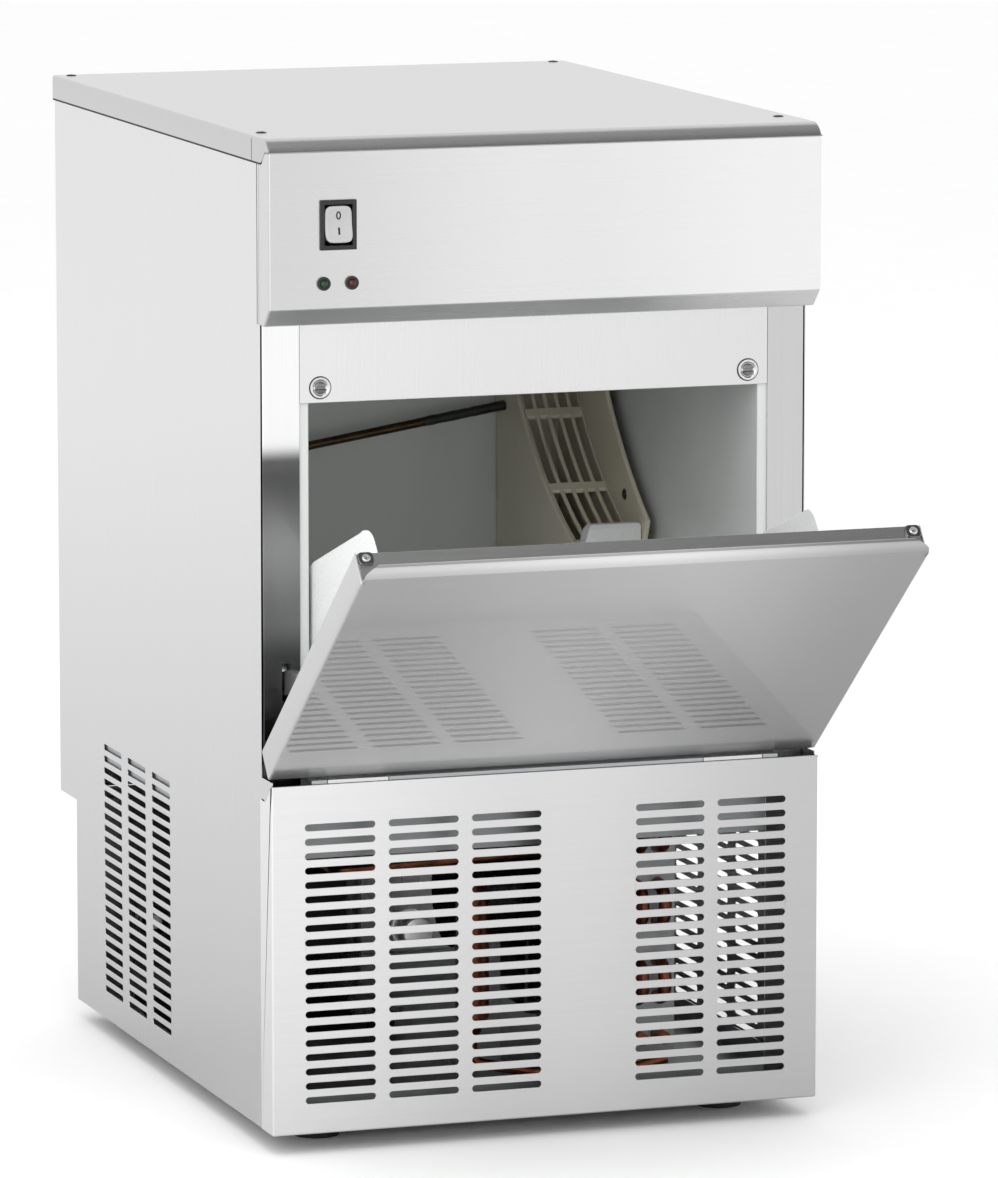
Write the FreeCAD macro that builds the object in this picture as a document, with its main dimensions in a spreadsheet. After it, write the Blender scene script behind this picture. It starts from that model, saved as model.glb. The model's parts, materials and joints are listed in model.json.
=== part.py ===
"""Under-counter ice maker as a parametric assembly of separate pieces, in millimetres.

+Z is up, +X is to the right of someone facing the machine and -Y is its front.  The origin is on the
floor, below the middle of the machine's box with its bin door resting open on its stop.  Every piece
of the cabinet is drawn with y = 0 on the front face of the control panel and then moved by front_y.
The pieces of the door are drawn closed, about the hinge axis, and then turned by open_angle.
"""
import FreeCAD
import Part
import Sketcher
import math
import os
import re

from FreeCAD import Placement, Rotation, Vector

X_AXIS = Vector(1, 0, 0)
Y_AXIS = Vector(0, 1, 0)
Z_AXIS = Vector(0, 0, 1)

DIMENSIONS = {
    # cabinet
    "width": 340, "depth": 458, "height": 596, "front_y": -139.7, "sheet": 0.8,
    "overhang": 1, "seam": 0.2, "frame_y": 22, "cabinet_base": 12, "flange": 13,
    "step_y": 420, "step_z": 140.4,
    # top cover
    "cover_drop": 14.6, "nose_radius": 7.5, "cover_notch_y": 33, "flap_front": 7,
    "flap_back": 14,
    "cover_screw_x": 160, "cover_screw_front": 46, "cover_screw_rear": 450,
    # control panel
    "panel_base": 497.6, "panel_slant": 10.6, "panel_clear": 0.4,
    "switch_x": -128.2, "switch_z": 546, "bezel_width": 22, "bezel_height": 29,
    "rocker_width": 16, "rocker_height": 22, "rocker_tilt": 8,
    "lamp_z": 512.2, "green_x": -137, "red_x": -120, "lamp_radius": 2.5, "holder_radius": 4,
    # front frame
    "jamb_inner": 145, "rail_base": 440.3, "rail_screw_x": 132.4, "rail_screw_z": 449,
    "stop_slot_inner": 150.7, "stop_slot_outer": 156, "stop_slot_base": 266, "stop_slot_top": 288,
    # lower front panel and its slots
    "lower_top": 219.3, "corner_front": 1.5, "corner_back": 13, "corner_down": 10.7,
    "sill_low": 219.6, "sill_top": 221.6,
    "slot_length": 43, "slot_height": 4, "slot_rows": 20, "slot_base": 32.2, "slot_pitch": 8.53,
    "slot_left_x": -128, "slot_right_x": 76.7, "slot_step": 51.3,
    "left_columns": 3, "right_columns": 2,
    # slots of the side panels
    "vent_length": 39.5, "vent_height": 3.7, "vent_rows": 22, "vent_base": 31.7, "vent_pitch": 7.3,
    "vent_left_y": 231, "vent_left_columns": 3, "vent_right_y": 114.5, "vent_right_columns": 5,
    "vent_step": 52.8,
    # feet
    "foot_x": 127, "foot_front": 53, "foot_rear": 385, "foot_radius": 14, "stud_radius": 4,
    # door, measured from the hinge axis
    "pivot_y": 6, "pivot_z": 230, "open_angle": 51.5, "door_front": -6, "door_back": 14,
    "door_base": -4.5, "door_top": 222, "lip_radius": 9, "lip_flat": 3,
    "gusset_outer": 137, "gusset_sheet": 3, "hinge_inner": 98, "hinge_outer": 135,
    "knuckle_inner": 108, "knuckle_outer": 125, "knuckle_radius": 4, "pin_radius": 2,
    "arm_inner": 151.2, "arm_outer": 155.2, "arm_low": 42, "arm_high": 56, "hook_high": 63,
    # ice bin
    "bin_half": 139, "bin_wall": 2.5, "bin_floor": 232, "bin_sill": 243, "bin_back": 353,
    "bin_front": 25.7, "bin_rim": 470, "foam_side": 7, "foam_back": 11, "bin_flange": 148,
    # ice chute in the right rear corner of the bin
    "chute_left": 88, "chute_right": 132, "chute_wall": 3, "chute_base": 286,
    "slat": 2.4, "slat_gap": 5.2,
    # thermostat bulb across the bin
    "bulb_y": 335, "bulb_radius": 2.2, "bulb_left_z": 355.9, "bulb_right_z": 391.6,
    # machine compartment
    "shelf_z": 216.5, "shelf_drop": 45, "tray_z": 13, "tray_sheet": 1,
    "fan_y": 155, "fan_z": 118, "fan_x": 42, "blade_radius": 71, "blade_count": 5, "hub_radius": 20,
    "hub_length": 20, "shaft_radius": 4, "motor_radius": 32, "motor_length": 40,
    "core_x": 62, "core_thick": 32, "core_front": 45, "core_length": 220, "core_base": 36,
    "core_height": 160, "fin_pitch": 5, "fin_sheet": 0.5, "coil_radius": 4,
    "compressor_x": -78, "compressor_y": 305, "shell_radius": 58, "shell_base": 26,
    "shell_top": 170, "tube_radius": 3.2,
    # rear connections
    "inlet_x": 110, "inlet_z": 78, "inlet_radius": 13.2, "inlet_reach": 14,
    "drain_x": 52, "drain_z": 44, "drain_radius": 12, "drain_reach": 28,
    "gland_x": -120, "gland_z": 60, "gland_radius": 9,
}

doc = FreeCAD.newDocument("ice_maker")
sheet = doc.addObject("Spreadsheet::Sheet", "dims")
for row, (alias, amount) in enumerate(DIMENSIONS.items(), start=1):
    sheet.set(f"A{row}", alias)
    sheet.set(f"B{row}", str(amount))
    sheet.setAlias(f"B{row}", alias)
doc.recompute()

ALIAS = re.compile(r"(?<![\w.])(" + "|".join(DIMENSIONS) + r")(?!\w)")
sub_parts = []
primitive_y = {}


# ---- small helpers -------------------------------------------------------------------------------

def formula(text):
    """A sum written with the sheet's aliases, as an expression of the document."""
    return ALIAS.sub(r"dims.\1", str(text))


def value(text):
    """What such a sum comes to, in millimetres or degrees."""
    return float(sheet.evalExpression(formula(text)))


def bind(thing, **sizes):
    """Bind properties to sums; a double underscore in a name stands for a dot."""
    for name, text in sizes.items():
        thing.setExpression(name.replace("__", "."), formula(text))


def new_body(label):
    part = doc.addObject("PartDesign::Body", label)
    part.Label = label
    return part


def new_sketch(part, plane, name, offset=0):
    """A sketch on one of the body's own origin planes, moved along that plane's normal."""
    sketch = part.newObject("Sketcher::SketchObject", name)
    role = plane + "_Plane"
    flat = next(item for item in part.Origin.OriginFeatures if item.Role == role)
    sketch.AttachmentSupport = [(flat, "")]
    sketch.MapMode = "FlatFace"
    bind(sketch, AttachmentOffset__Base__z=offset)
    return sketch


def pin_point(sketch, index, which, x=None, y=None):
    """Dimension one point of a sketch from the sketch's origin, along one direction or both."""
    for kind, text in (("DistanceX", x), ("DistanceY", y)):
        if text is None:
            continue
        amount = value(text)
        if amount < 0:
            ends = (index, which, -1, 1)
            text = f"-({text})"
        else:
            ends = (-1, 1, index, which)
        number = sketch.addConstraint(Sketcher.Constraint(kind, *ends, abs(amount)))
        sketch.setExpression(f"Constraints[{number}]", formula(text))


def draw_outline(sketch, corners):
    """Close a loop of straight and round edges.

    A corner is (x, y), or (x, y, cx, cy, turn) where the edge that arrives at it is an arc about
    (cx, cy), turning left for turn = 1 and right for turn = -1.
    """
    ends = []
    count = len(corners)
    for number, corner in enumerate(corners):
        before = corners[number - 1]
        start = Vector(value(before[0]), value(before[1]), 0)
        end = Vector(value(corner[0]), value(corner[1]), 0)
        if len(corner) == 2:
            edge = sketch.addGeometry(Part.LineSegment(start, end), False)
            ends.append((edge, 1, 2))
            continue
        centre = Vector(value(corner[2]), value(corner[3]), 0)
        first, last = (start, end) if corner[4] > 0 else (end, start)
        from_angle = math.atan2(first.y - centre.y, first.x - centre.x)
        to_angle = math.atan2(last.y - centre.y, last.x - centre.x)
        round_edge = Part.Circle(centre, Z_AXIS, (start - centre).Length)
        edge = sketch.addGeometry(Part.ArcOfCircle(round_edge, from_angle, to_angle), False)
        ends.append((edge, 1, 2) if corner[4] > 0 else (edge, 2, 1))
        upright = abs(end.y - start.y) > abs(end.x - start.x)
        if upright:
            pin_point(sketch, edge, 3, x=corner[2])
        else:
            pin_point(sketch, edge, 3, y=corner[3])
    for number in range(count):
        edge, _, tail = ends[number]
        following, head, _ = ends[(number + 1) % count]
        sketch.addConstraint(Sketcher.Constraint("Coincident", edge, tail, following, head))
        pin_point(sketch, edge, tail, corners[number][0], corners[number][1])


def draw_rectangle(sketch, left, right, low, high):
    draw_outline(sketch, [(left, low), (right, low), (right, high), (left, high)])


def draw_slot(sketch, x, y, length, high):
    """A slot with round ends, centred on (x, y) and lying along the sketch's x."""
    left = f"{x} - {length}/2 + {high}/2"
    right = f"{x} + {length}/2 - {high}/2"
    low = f"{y} - {high}/2"
    top = f"{y} + {high}/2"
    draw_outline(sketch, [(left, low, left, y, 1), (right, low), (right, top, right, y, 1),
                          (left, top)])


def draw_circle(sketch, x, y, radius):
    centre = Vector(value(x), value(y), 0)
    edge = sketch.addGeometry(Part.Circle(centre, Z_AXIS, value(radius)), False)
    pin_point(sketch, edge, 3, x, y)
    number = sketch.addConstraint(Sketcher.Constraint("Radius", edge, value(radius)))
    sketch.setExpression(f"Constraints[{number}]", formula(radius))


def pad(part, sketch, length, both=False, backwards=False):
    feature = part.newObject("PartDesign::Pad", sketch.Name + "_pad")
    feature.Profile = sketch
    bind(feature, Length=length)
    feature.Midplane = both
    feature.Reversed = backwards
    sketch.Visibility = False
    return feature


def pocket(part, sketch, length=None):
    """Cut right through, both ways, or symmetrically over a length."""
    feature = part.newObject("PartDesign::Pocket", sketch.Name + "_cut")
    feature.Profile = sketch
    feature.Midplane = True
    if length is None:
        feature.Type = "ThroughAll"
    else:
        bind(feature, Length=length)
    return feature


def one_way_pocket(part, sketch, length, backwards=False):
    feature = part.newObject("PartDesign::Pocket", sketch.Name + "_cut")
    feature.Profile = sketch
    feature.Reversed = backwards
    bind(feature, Length=length)
    return feature


def repeat(part, feature, sketch, across, step, count, rise=None, rows=None):
    """Repeat a feature along the sketch's x or y, and along the other one too if rows is given."""
    pattern = part.newObject("PartDesign::LinearPattern", feature.Name + "_row")
    pattern.Originals = [feature]
    pattern.Direction = (sketch, [across])
    bind(pattern, Length=f"{step} * ({count} - 1)", Occurrences=count)
    if rows is not None:
        pattern.Direction2 = (sketch, ["V_Axis"])
        bind(pattern, Length2=f"{rise} * ({rows} - 1)", Occurrences2=rows)
    part.Tip = pattern
    return pattern


def block(label, x, y, z):
    """A plain box between pairs of bounds."""
    thing = doc.addObject("Part::Box", label)
    thing.Label = label
    bind(thing, Length=f"{x[1]} - ({x[0]})", Width=f"{y[1]} - ({y[0]})", Height=f"{z[1]} - ({z[0]})")
    bind(thing, Placement__Base__x=x[0], Placement__Base__y=y[0], Placement__Base__z=z[0])
    primitive_y[thing.Name] = y[0]
    return thing


def rod(label, axis, start, radius, length):
    """A round bar that starts at a point and runs along +X, +Y or +Z."""
    thing = doc.addObject("Part::Cylinder", label)
    thing.Label = label
    thing.Placement.Rotation = Rotation(Z_AXIS, {"X": X_AXIS, "Y": Y_AXIS, "Z": Z_AXIS}[axis])
    bind(thing, Radius=radius, Height=length)
    bind(thing, Placement__Base__x=start[0], Placement__Base__y=start[1], Placement__Base__z=start[2])
    primitive_y[thing.Name] = start[1]
    return thing


def fuse(label, *things):
    joined = doc.addObject("Part::MultiFuse", label)
    joined.Label = label
    joined.Shapes = list(things)
    return joined


def cut(label, base, *tools):
    tool = tools[0] if len(tools) == 1 else fuse(label + "_tools", *tools)
    result = doc.addObject("Part::Cut", label)
    result.Label = label
    result.Base = base
    result.Tool = tool
    return result


def group(label, *things):
    """Separate solids that share one node."""
    together = doc.addObject("Part::Compound", label)
    together.Label = label
    together.Links = list(things)
    return together


def mirror(thing):
    """The same piece on the other side of the machine."""
    image = doc.addObject("Part::Mirroring", thing.Name + "_mirrored")
    image.Source = thing
    image.Normal = X_AXIS
    return image


def from_shape(label, shape):
    thing = doc.addObject("Part::Feature", label)
    thing.Label = label
    thing.Shape = shape
    return thing


def on_cabinet(thing):
    """Hand in a piece drawn from the front face of the control panel."""
    local_y = primitive_y.get(thing.Name, "0")
    bind(thing, Placement__Base__y=f"front_y + ({local_y})")
    sub_parts.append(thing)
    return thing


def on_door(thing):
    """Hand in a piece drawn about the hinge axis with the door closed, at its open rest."""
    thing.Placement.Rotation = Rotation(X_AXIS, 1)
    bind(thing, Placement__Base__y="front_y + pivot_y", Placement__Base__z="pivot_z",
         Placement__Rotation__Angle="open_angle")
    sub_parts.append(thing)
    return thing


def bent_tube(points, radius, bend):
    """A tube along straight runs joined by tangent arcs of one bend radius."""
    edges = []
    start = points[0]
    for before, corner, after in zip(points, points[1:], points[2:]):
        into = (before - corner).normalize()
        out = (after - corner).normalize()
        half = into.getAngle(out) / 2
        reach = bend / math.tan(half)
        first = corner + into * reach
        last = corner + out * reach
        centre = corner + (into + out).normalize() * (bend / math.sin(half))
        middle = centre + (corner - centre).normalize() * bend
        edges.append(Part.LineSegment(start, first).toShape())
        edges.append(Part.Arc(first, middle, last).toShape())
        start = last
    edges.append(Part.LineSegment(start, points[-1]).toShape())
    path = Part.Wire(edges)
    ring = Part.Wire(Part.Circle(points[0], points[1] - points[0], radius).toShape())
    solid = path.makePipeShell([ring], True, False)
    expected = math.pi * radius ** 2 * path.Length
    assert abs(solid.Volume - expected) < 0.02 * expected, "a tube is not its section times its length"
    return solid


# ---- sheet-metal cabinet -------------------------------------------------------------------------

def side_panel(label, side, first_y, columns):
    """C-shaped sheet with a tongue under the door and a step at the lower rear."""
    part = new_body(label)
    outer = f"{side} * (width/2 - overhang)"
    inner = f"{side} * (width/2 - overhang - sheet)"
    edge = f"{side} * (width/2 - overhang - flange)"
    low, high = "cabinet_base", "height - sheet - seam"
    section = new_sketch(part, "XZ", label + "_section", "-frame_y - 2*seam")
    draw_outline(section, [(outer, low), (outer, high), (edge, high), (edge, f"{high} - sheet"),
                           (inner, f"{high} - sheet"), (inner, f"{low} + sheet"),
                           (edge, f"{low} + sheet"), (edge, low)])
    pad(part, section, "depth - frame_y - sheet - 3*seam", backwards=True)
    tongue = new_sketch(part, "YZ", label + "_tongue",
                        f"{side} * (width/2 - overhang) - (1 + {side})/2 * sheet")
    low_edge = "lower_top - corner_down + 0.5"
    draw_outline(tongue, [("corner_front + 0.7", "sill_top"), ("corner_front + 0.7", "lower_top + 0.3"),
                          ("corner_back + 0.5", low_edge), ("frame_y + 3", low_edge),
                          ("frame_y + 3", "sill_top")])
    pad(part, tongue, "sheet")
    step = new_sketch(part, "YZ", label + "_step")
    draw_rectangle(step, "step_y", "depth + flange", "0", "step_z")
    pocket(part, step)
    holes = new_sketch(part, "XY", label + "_holes")
    for y in ("cover_screw_front", "cover_screw_rear"):
        draw_circle(holes, f"{side} * cover_screw_x", y, "2")
    pocket(part, holes)
    slot = new_sketch(part, "YZ", label + "_slot")
    draw_slot(slot, first_y, "vent_base", "vent_length", "vent_height")
    vent = pocket(part, slot)
    repeat(part, vent, slot, "H_Axis", "vent_step", columns, "vent_pitch", "vent_rows")
    return on_cabinet(part)


def rear_panel():
    part = new_body("rear_panel")
    half = "width/2 - overhang - sheet - 2*seam"
    face = new_sketch(part, "XZ", "rear_panel_face", "-depth + sheet + seam")
    draw_rectangle(face, f"-({half})", half, "step_z + sheet + seam", "height - 2*sheet - 3*seam")
    pad(part, face, "sheet")
    slot = new_sketch(part, "XZ", "rear_panel_slot")
    draw_slot(slot, "-80", "500", "slot_length", "slot_height")
    vent = pocket(part, slot)
    repeat(part, vent, slot, "H_Axis", "80", "3", "14", "5")
    on_cabinet(part)


def rear_lower_panel():
    """L-shaped sheet that closes the recess at the lower rear; the connections pass through it."""
    part = new_body("rear_lower_panel")
    half = "width/2 - overhang - sheet - 2*seam"
    section = new_sketch(part, "YZ", "rear_lower_section")
    front, low, shelf = "step_y - sheet - seam", "cabinet_base + sheet + seam", "step_z"
    draw_outline(section, [(front, low), (f"{front} + sheet", low), (f"{front} + sheet", shelf),
                           ("depth - sheet", shelf), ("depth - sheet", f"{shelf} + sheet"),
                           (front, f"{shelf} + sheet")])
    pad(part, section, f"2*({half})", both=True)
    holes = new_sketch(part, "XZ", "rear_lower_holes")
    draw_circle(holes, "inlet_x", "inlet_z", "inlet_radius + 0.3")
    draw_circle(holes, "drain_x", "drain_z", "drain_radius + 0.3")
    draw_circle(holes, "gland_x", "gland_z", "gland_radius + 0.3")
    pocket(part, holes)
    on_cabinet(part)


def base_tray():
    part = new_body("base_tray")
    half, front, back = "width/2 - overhang - sheet - 1", "frame_y + 3", "step_y - 3"
    floor = new_sketch(part, "XY", "tray_floor", "tray_z")
    draw_rectangle(floor, f"-({half})", half, front, back)
    pad(part, floor, "16")
    hollow = new_sketch(part, "XY", "tray_hollow", "tray_z + tray_sheet")
    draw_rectangle(hollow, f"-({half}) + tray_sheet", f"{half} - tray_sheet",
                   f"{front} + tray_sheet", f"{back} - tray_sheet")
    one_way_pocket(part, hollow, "20", backwards=True)
    holes = new_sketch(part, "XY", "tray_holes")
    for x in ("-foot_x", "foot_x"):
        for y in ("foot_front", "foot_rear"):
            draw_circle(holes, x, y, "stud_radius + 0.2")
    pocket(part, holes)
    on_cabinet(part)


def top_cover():
    """Lid: flat top, rounded front nose, flanges down both sides and the back."""
    part = new_body("top_cover")
    bottom = "height - cover_drop"
    nose_z = "height - nose_radius"
    outer = new_sketch(part, "YZ", "cover_outer")
    draw_outline(outer, [("0", nose_z), ("nose_radius", "height", "nose_radius", nose_z, -1),
                         ("depth", "height"), ("depth", bottom), ("flap_back", bottom),
                         ("flap_front", nose_z)])
    pad(part, outer, "width", both=True)
    inner = new_sketch(part, "YZ", "cover_inner")
    draw_outline(inner, [("sheet", f"{bottom} - 5"), ("sheet", nose_z),
                         ("nose_radius", "height - sheet", "nose_radius", nose_z, -1),
                         ("depth - sheet", "height - sheet"), ("depth - sheet", f"{bottom} - 5")])
    pocket(part, inner, "width - 2*sheet")
    notch = new_sketch(part, "YZ", "cover_notch")
    draw_rectangle(notch, "cover_notch_y", "cover_notch_y + 0.4", f"{bottom} - 1", "height - 2.5")
    pocket(part, notch)
    holes = new_sketch(part, "XY", "cover_holes")
    for x in ("-cover_screw_x", "cover_screw_x"):
        for y in ("cover_screw_front", "cover_screw_rear"):
            draw_circle(holes, x, y, "2")
    pocket(part, holes)
    on_cabinet(part)


def cover_screws():
    screws = []
    for side, x in (("left", "-cover_screw_x"), ("right", "cover_screw_x")):
        for end, y in (("front", "cover_screw_front"), ("rear", "cover_screw_rear")):
            name = f"cover_screw_{side}_{end}"
            head = rod(name + "_head", "Z", (x, y, "height"), "3.4", "1.8")
            shank = rod(name + "_shank", "Z", (x, y, "height - 8"), "1.9", "8.5")
            screws.append(fuse(name, head, shank))
    on_cabinet(group("top_cover_screws", *screws))


def control_panel():
    """Fascia folded from one sheet, with a slanted lower edge and returns at both ends."""
    part = new_body("control_panel")
    top = "height - nose_radius - panel_clear"
    low = "panel_base - panel_slant"
    flap = "height - cover_drop - panel_clear"
    outer = new_sketch(part, "YZ", "panel_outer")
    draw_outline(outer, [("0", top), ("0", "panel_base"), ("panel_slant", low), ("frame_y", low),
                         ("frame_y", flap), ("flap_back - 0.3", flap), ("flap_front - 0.3", top)])
    pad(part, outer, "width", both=True)
    inner = new_sketch(part, "YZ", "panel_inner")
    draw_outline(inner, [("sheet", f"{top} + 5"), ("sheet", "panel_base + 0.3*sheet"),
                         ("panel_slant + 0.4*sheet", f"{low} + sheet"),
                         ("frame_y + 5", f"{low} + sheet"), ("frame_y + 5", f"{top} + 5")])
    pocket(part, inner, "width - 2*sheet")
    windows = new_sketch(part, "XZ", "panel_windows")
    draw_rectangle(windows, "switch_x - bezel_width/2 + 1.5", "switch_x + bezel_width/2 - 1.5",
                   "switch_z - bezel_height/2 + 1.5", "switch_z + bezel_height/2 - 1.5")
    for x in ("green_x", "red_x"):
        draw_circle(windows, x, "lamp_z", "holder_radius - 0.8")
    pocket(part, windows)
    on_cabinet(part)


def switch():
    """Black bezel snapped into the fascia, and the light grey rocker that tilts in it."""
    bezel = new_body("switch_bezel")
    rim = new_sketch(bezel, "XZ", "bezel_rim")
    draw_rectangle(rim, "switch_x - bezel_width/2", "switch_x + bezel_width/2",
                   "switch_z - bezel_height/2", "switch_z + bezel_height/2")
    pad(bezel, rim, "1.6")
    shell = new_sketch(bezel, "XZ", "bezel_shell")
    draw_rectangle(shell, "switch_x - bezel_width/2 + 1.7", "switch_x + bezel_width/2 - 1.7",
                   "switch_z - bezel_height/2 + 1.7", "switch_z + bezel_height/2 - 1.7")
    pad(bezel, shell, "20", backwards=True)
    well = new_sketch(bezel, "XZ", "bezel_well", "1.6")
    draw_rectangle(well, "switch_x - rocker_width/2 - 0.4", "switch_x + rocker_width/2 + 0.4",
                   "switch_z - rocker_height/2 - 0.7", "switch_z + rocker_height/2 + 0.7")
    one_way_pocket(bezel, well, "15")
    on_cabinet(bezel)

    rocker = new_body("switch_rocker")
    side = new_sketch(rocker, "YZ", "rocker_side")
    draw_outline(side, [("-5", "rocker_height/2"), ("-3.4", "0"), ("-5", "-rocker_height/2"),
                        ("-1", "-rocker_height/2 - 0.2"), ("6", "-5"), ("6", "5"),
                        ("-1", "rocker_height/2 + 0.2")])
    pad(rocker, side, "rocker_width", both=True)
    rocker.Placement.Rotation = Rotation(X_AXIS, 1)
    bind(rocker, Placement__Base__x="switch_x", Placement__Base__y="front_y + 2.5",
         Placement__Base__z="switch_z", Placement__Rotation__Angle="360 - rocker_tilt")
    sub_parts.append(rocker)


def signal_lamps():
    holders = []
    for colour, x in (("green", "green_x"), ("red", "red_x")):
        lens = rod(f"led_{colour}_stem", "Y", (x, "-0.8", "lamp_z"), "lamp_radius", "7")
        dome = doc.addObject("Part::Sphere", f"led_{colour}_dome")
        bind(dome, Radius="lamp_radius", Placement__Base__x=x, Placement__Base__y="-0.8",
             Placement__Base__z="lamp_z")
        on_cabinet(fuse(f"led_{colour}", lens, dome))
        rim = rod(f"holder_{colour}_rim", "Y", (x, "-1.2", "lamp_z"), "holder_radius", "1.2")
        neck = rod(f"holder_{colour}_neck", "Y", (x, "-0.5", "lamp_z"), "holder_radius - 0.9", "6")
        bore = rod(f"holder_{colour}_bore", "Y", (x, "-4", "lamp_z"), "lamp_radius + 0.1", "14")
        holders.append(cut(f"holder_{colour}", fuse(f"holder_{colour}_body", rim, neck), bore))
    on_cabinet(group("led_holders", *holders))


def jamb(label, side):
    """Upright of the front frame, an L of sheet with the slot that the stop arm runs through."""
    part = new_body(label)
    inner = f"{side} * jamb_inner"
    outer = f"{side} * (width/2 - overhang - sheet - seam)"
    skin = f"{side} * (width/2 - overhang - 2*sheet - seam)"
    section = new_sketch(part, "XY", label + "_section", "cabinet_base + sheet + seam")
    draw_outline(section, [(inner, "frame_y"), (outer, "frame_y"), (outer, "frame_y + 18"),
                           (skin, "frame_y + 18"), (skin, "frame_y + sheet"),
                           (inner, "frame_y + sheet")])
    pad(part, section, "height - cabinet_base - 3*sheet - 3*seam")
    slot = new_sketch(part, "XZ", label + "_slot")
    draw_rectangle(slot, f"{side} * stop_slot_inner", f"{side} * stop_slot_outer",
                   "stop_slot_base", "stop_slot_top")
    pocket(part, slot)
    return on_cabinet(part)


def front_rail():
    """Upper cross member of the front frame: a tall sheet that runs up behind the fascia."""
    part = new_body("front_rail")
    face = new_sketch(part, "XZ", "rail_face", "-frame_y")
    draw_rectangle(face, "-jamb_inner + seam", "jamb_inner - seam", "rail_base",
                   "height - 2*sheet - 2*seam")
    pad(part, face, "sheet", backwards=True)
    holes = new_sketch(part, "XZ", "rail_holes")
    for x in ("-rail_screw_x", "rail_screw_x"):
        draw_circle(holes, x, "rail_screw_z", "2.2")
    pocket(part, holes)
    on_cabinet(part)


def rail_fasteners():
    """Slotted screws in cupped washers at the lower corners of the rail."""
    screws, washers = [], []
    for side, x in (("left", "-rail_screw_x"), ("right", "rail_screw_x")):
        name = f"rail_screw_{side}"
        head = rod(name + "_head", "Y", (x, "frame_y - 2.4", "rail_screw_z"), "4", "1.6")
        shank = rod(name + "_shank", "Y", (x, "frame_y - 0.8", "rail_screw_z"), "2", "1.9")
        slot = block(name + "_slot", (f"{x} - 5", f"{x} + 5"), ("frame_y - 3", "frame_y - 1.7"),
                     ("rail_screw_z - 0.5", "rail_screw_z + 0.5"))
        screws.append(cut(name, fuse(name + "_body", head, shank), slot))
        disc = rod(f"washer_{side}_disc", "Y", (x, "frame_y - 1", "rail_screw_z"), "6.5", "1")
        rim = rod(f"washer_{side}_rim", "Y", (x, "frame_y - 1.9", "rail_screw_z"), "5.4", "1.2")
        cup = rod(f"washer_{side}_cup", "Y", (x, "frame_y - 3", "rail_screw_z"), "4.3", "2.2")
        bore = rod(f"washer_{side}_bore", "Y", (x, "frame_y - 4", "rail_screw_z"), "2.2", "6")
        washers.append(cut(f"washer_{side}", fuse(f"washer_{side}_body", disc, rim), cup, bore))
    on_cabinet(group("rail_screws", *screws))
    on_cabinet(group("rail_screw_washers", *washers))


def lower_front_panel():
    """Slotted cover of the machine compartment, folded back at all four edges."""
    part = new_body("lower_front_panel")
    low, high = "cabinet_base", "lower_top"
    outer = new_sketch(part, "YZ", "lower_outer")
    draw_outline(outer, [("0", low), ("frame_y", low), ("frame_y", f"{high} - corner_down"),
                         ("corner_back", f"{high} - corner_down"), ("corner_front", high),
                         ("0", high)])
    pad(part, outer, "width", both=True)
    inner = new_sketch(part, "YZ", "lower_inner")
    draw_rectangle(inner, "sheet", "frame_y + 5", f"{low} + sheet", f"{high} - sheet")
    pocket(part, inner, "width - 2*sheet")
    for name, x, columns in (("lower_left", "slot_left_x", "left_columns"),
                             ("lower_right", "slot_right_x", "right_columns")):
        slot = new_sketch(part, "XZ", name + "_slot")
        draw_slot(slot, x, "slot_base", "slot_length", "slot_height")
        vent = pocket(part, slot)
        repeat(part, vent, slot, "H_Axis", "slot_step", columns, "slot_pitch", "slot_rows")
    on_cabinet(part)


def feet():
    """Four low round feet with studs through the tray."""
    pieces = []
    for side, x in (("left", "-foot_x"), ("right", "foot_x")):
        for end, y in (("front", "foot_front"), ("rear", "foot_rear")):
            name = f"foot_{side}_{end}"
            pad_disc = rod(name + "_pad", "Z", (x, y, "0"), "foot_radius", "tray_z")
            stud = rod(name + "_stud", "Z", (x, y, "tray_z - 1"), "stud_radius", "10")
            pieces.append(fuse(name, pad_disc, stud))
    on_cabinet(group("feet", *pieces))


# ---- door ----------------------------------------------------------------------------------------

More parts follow.
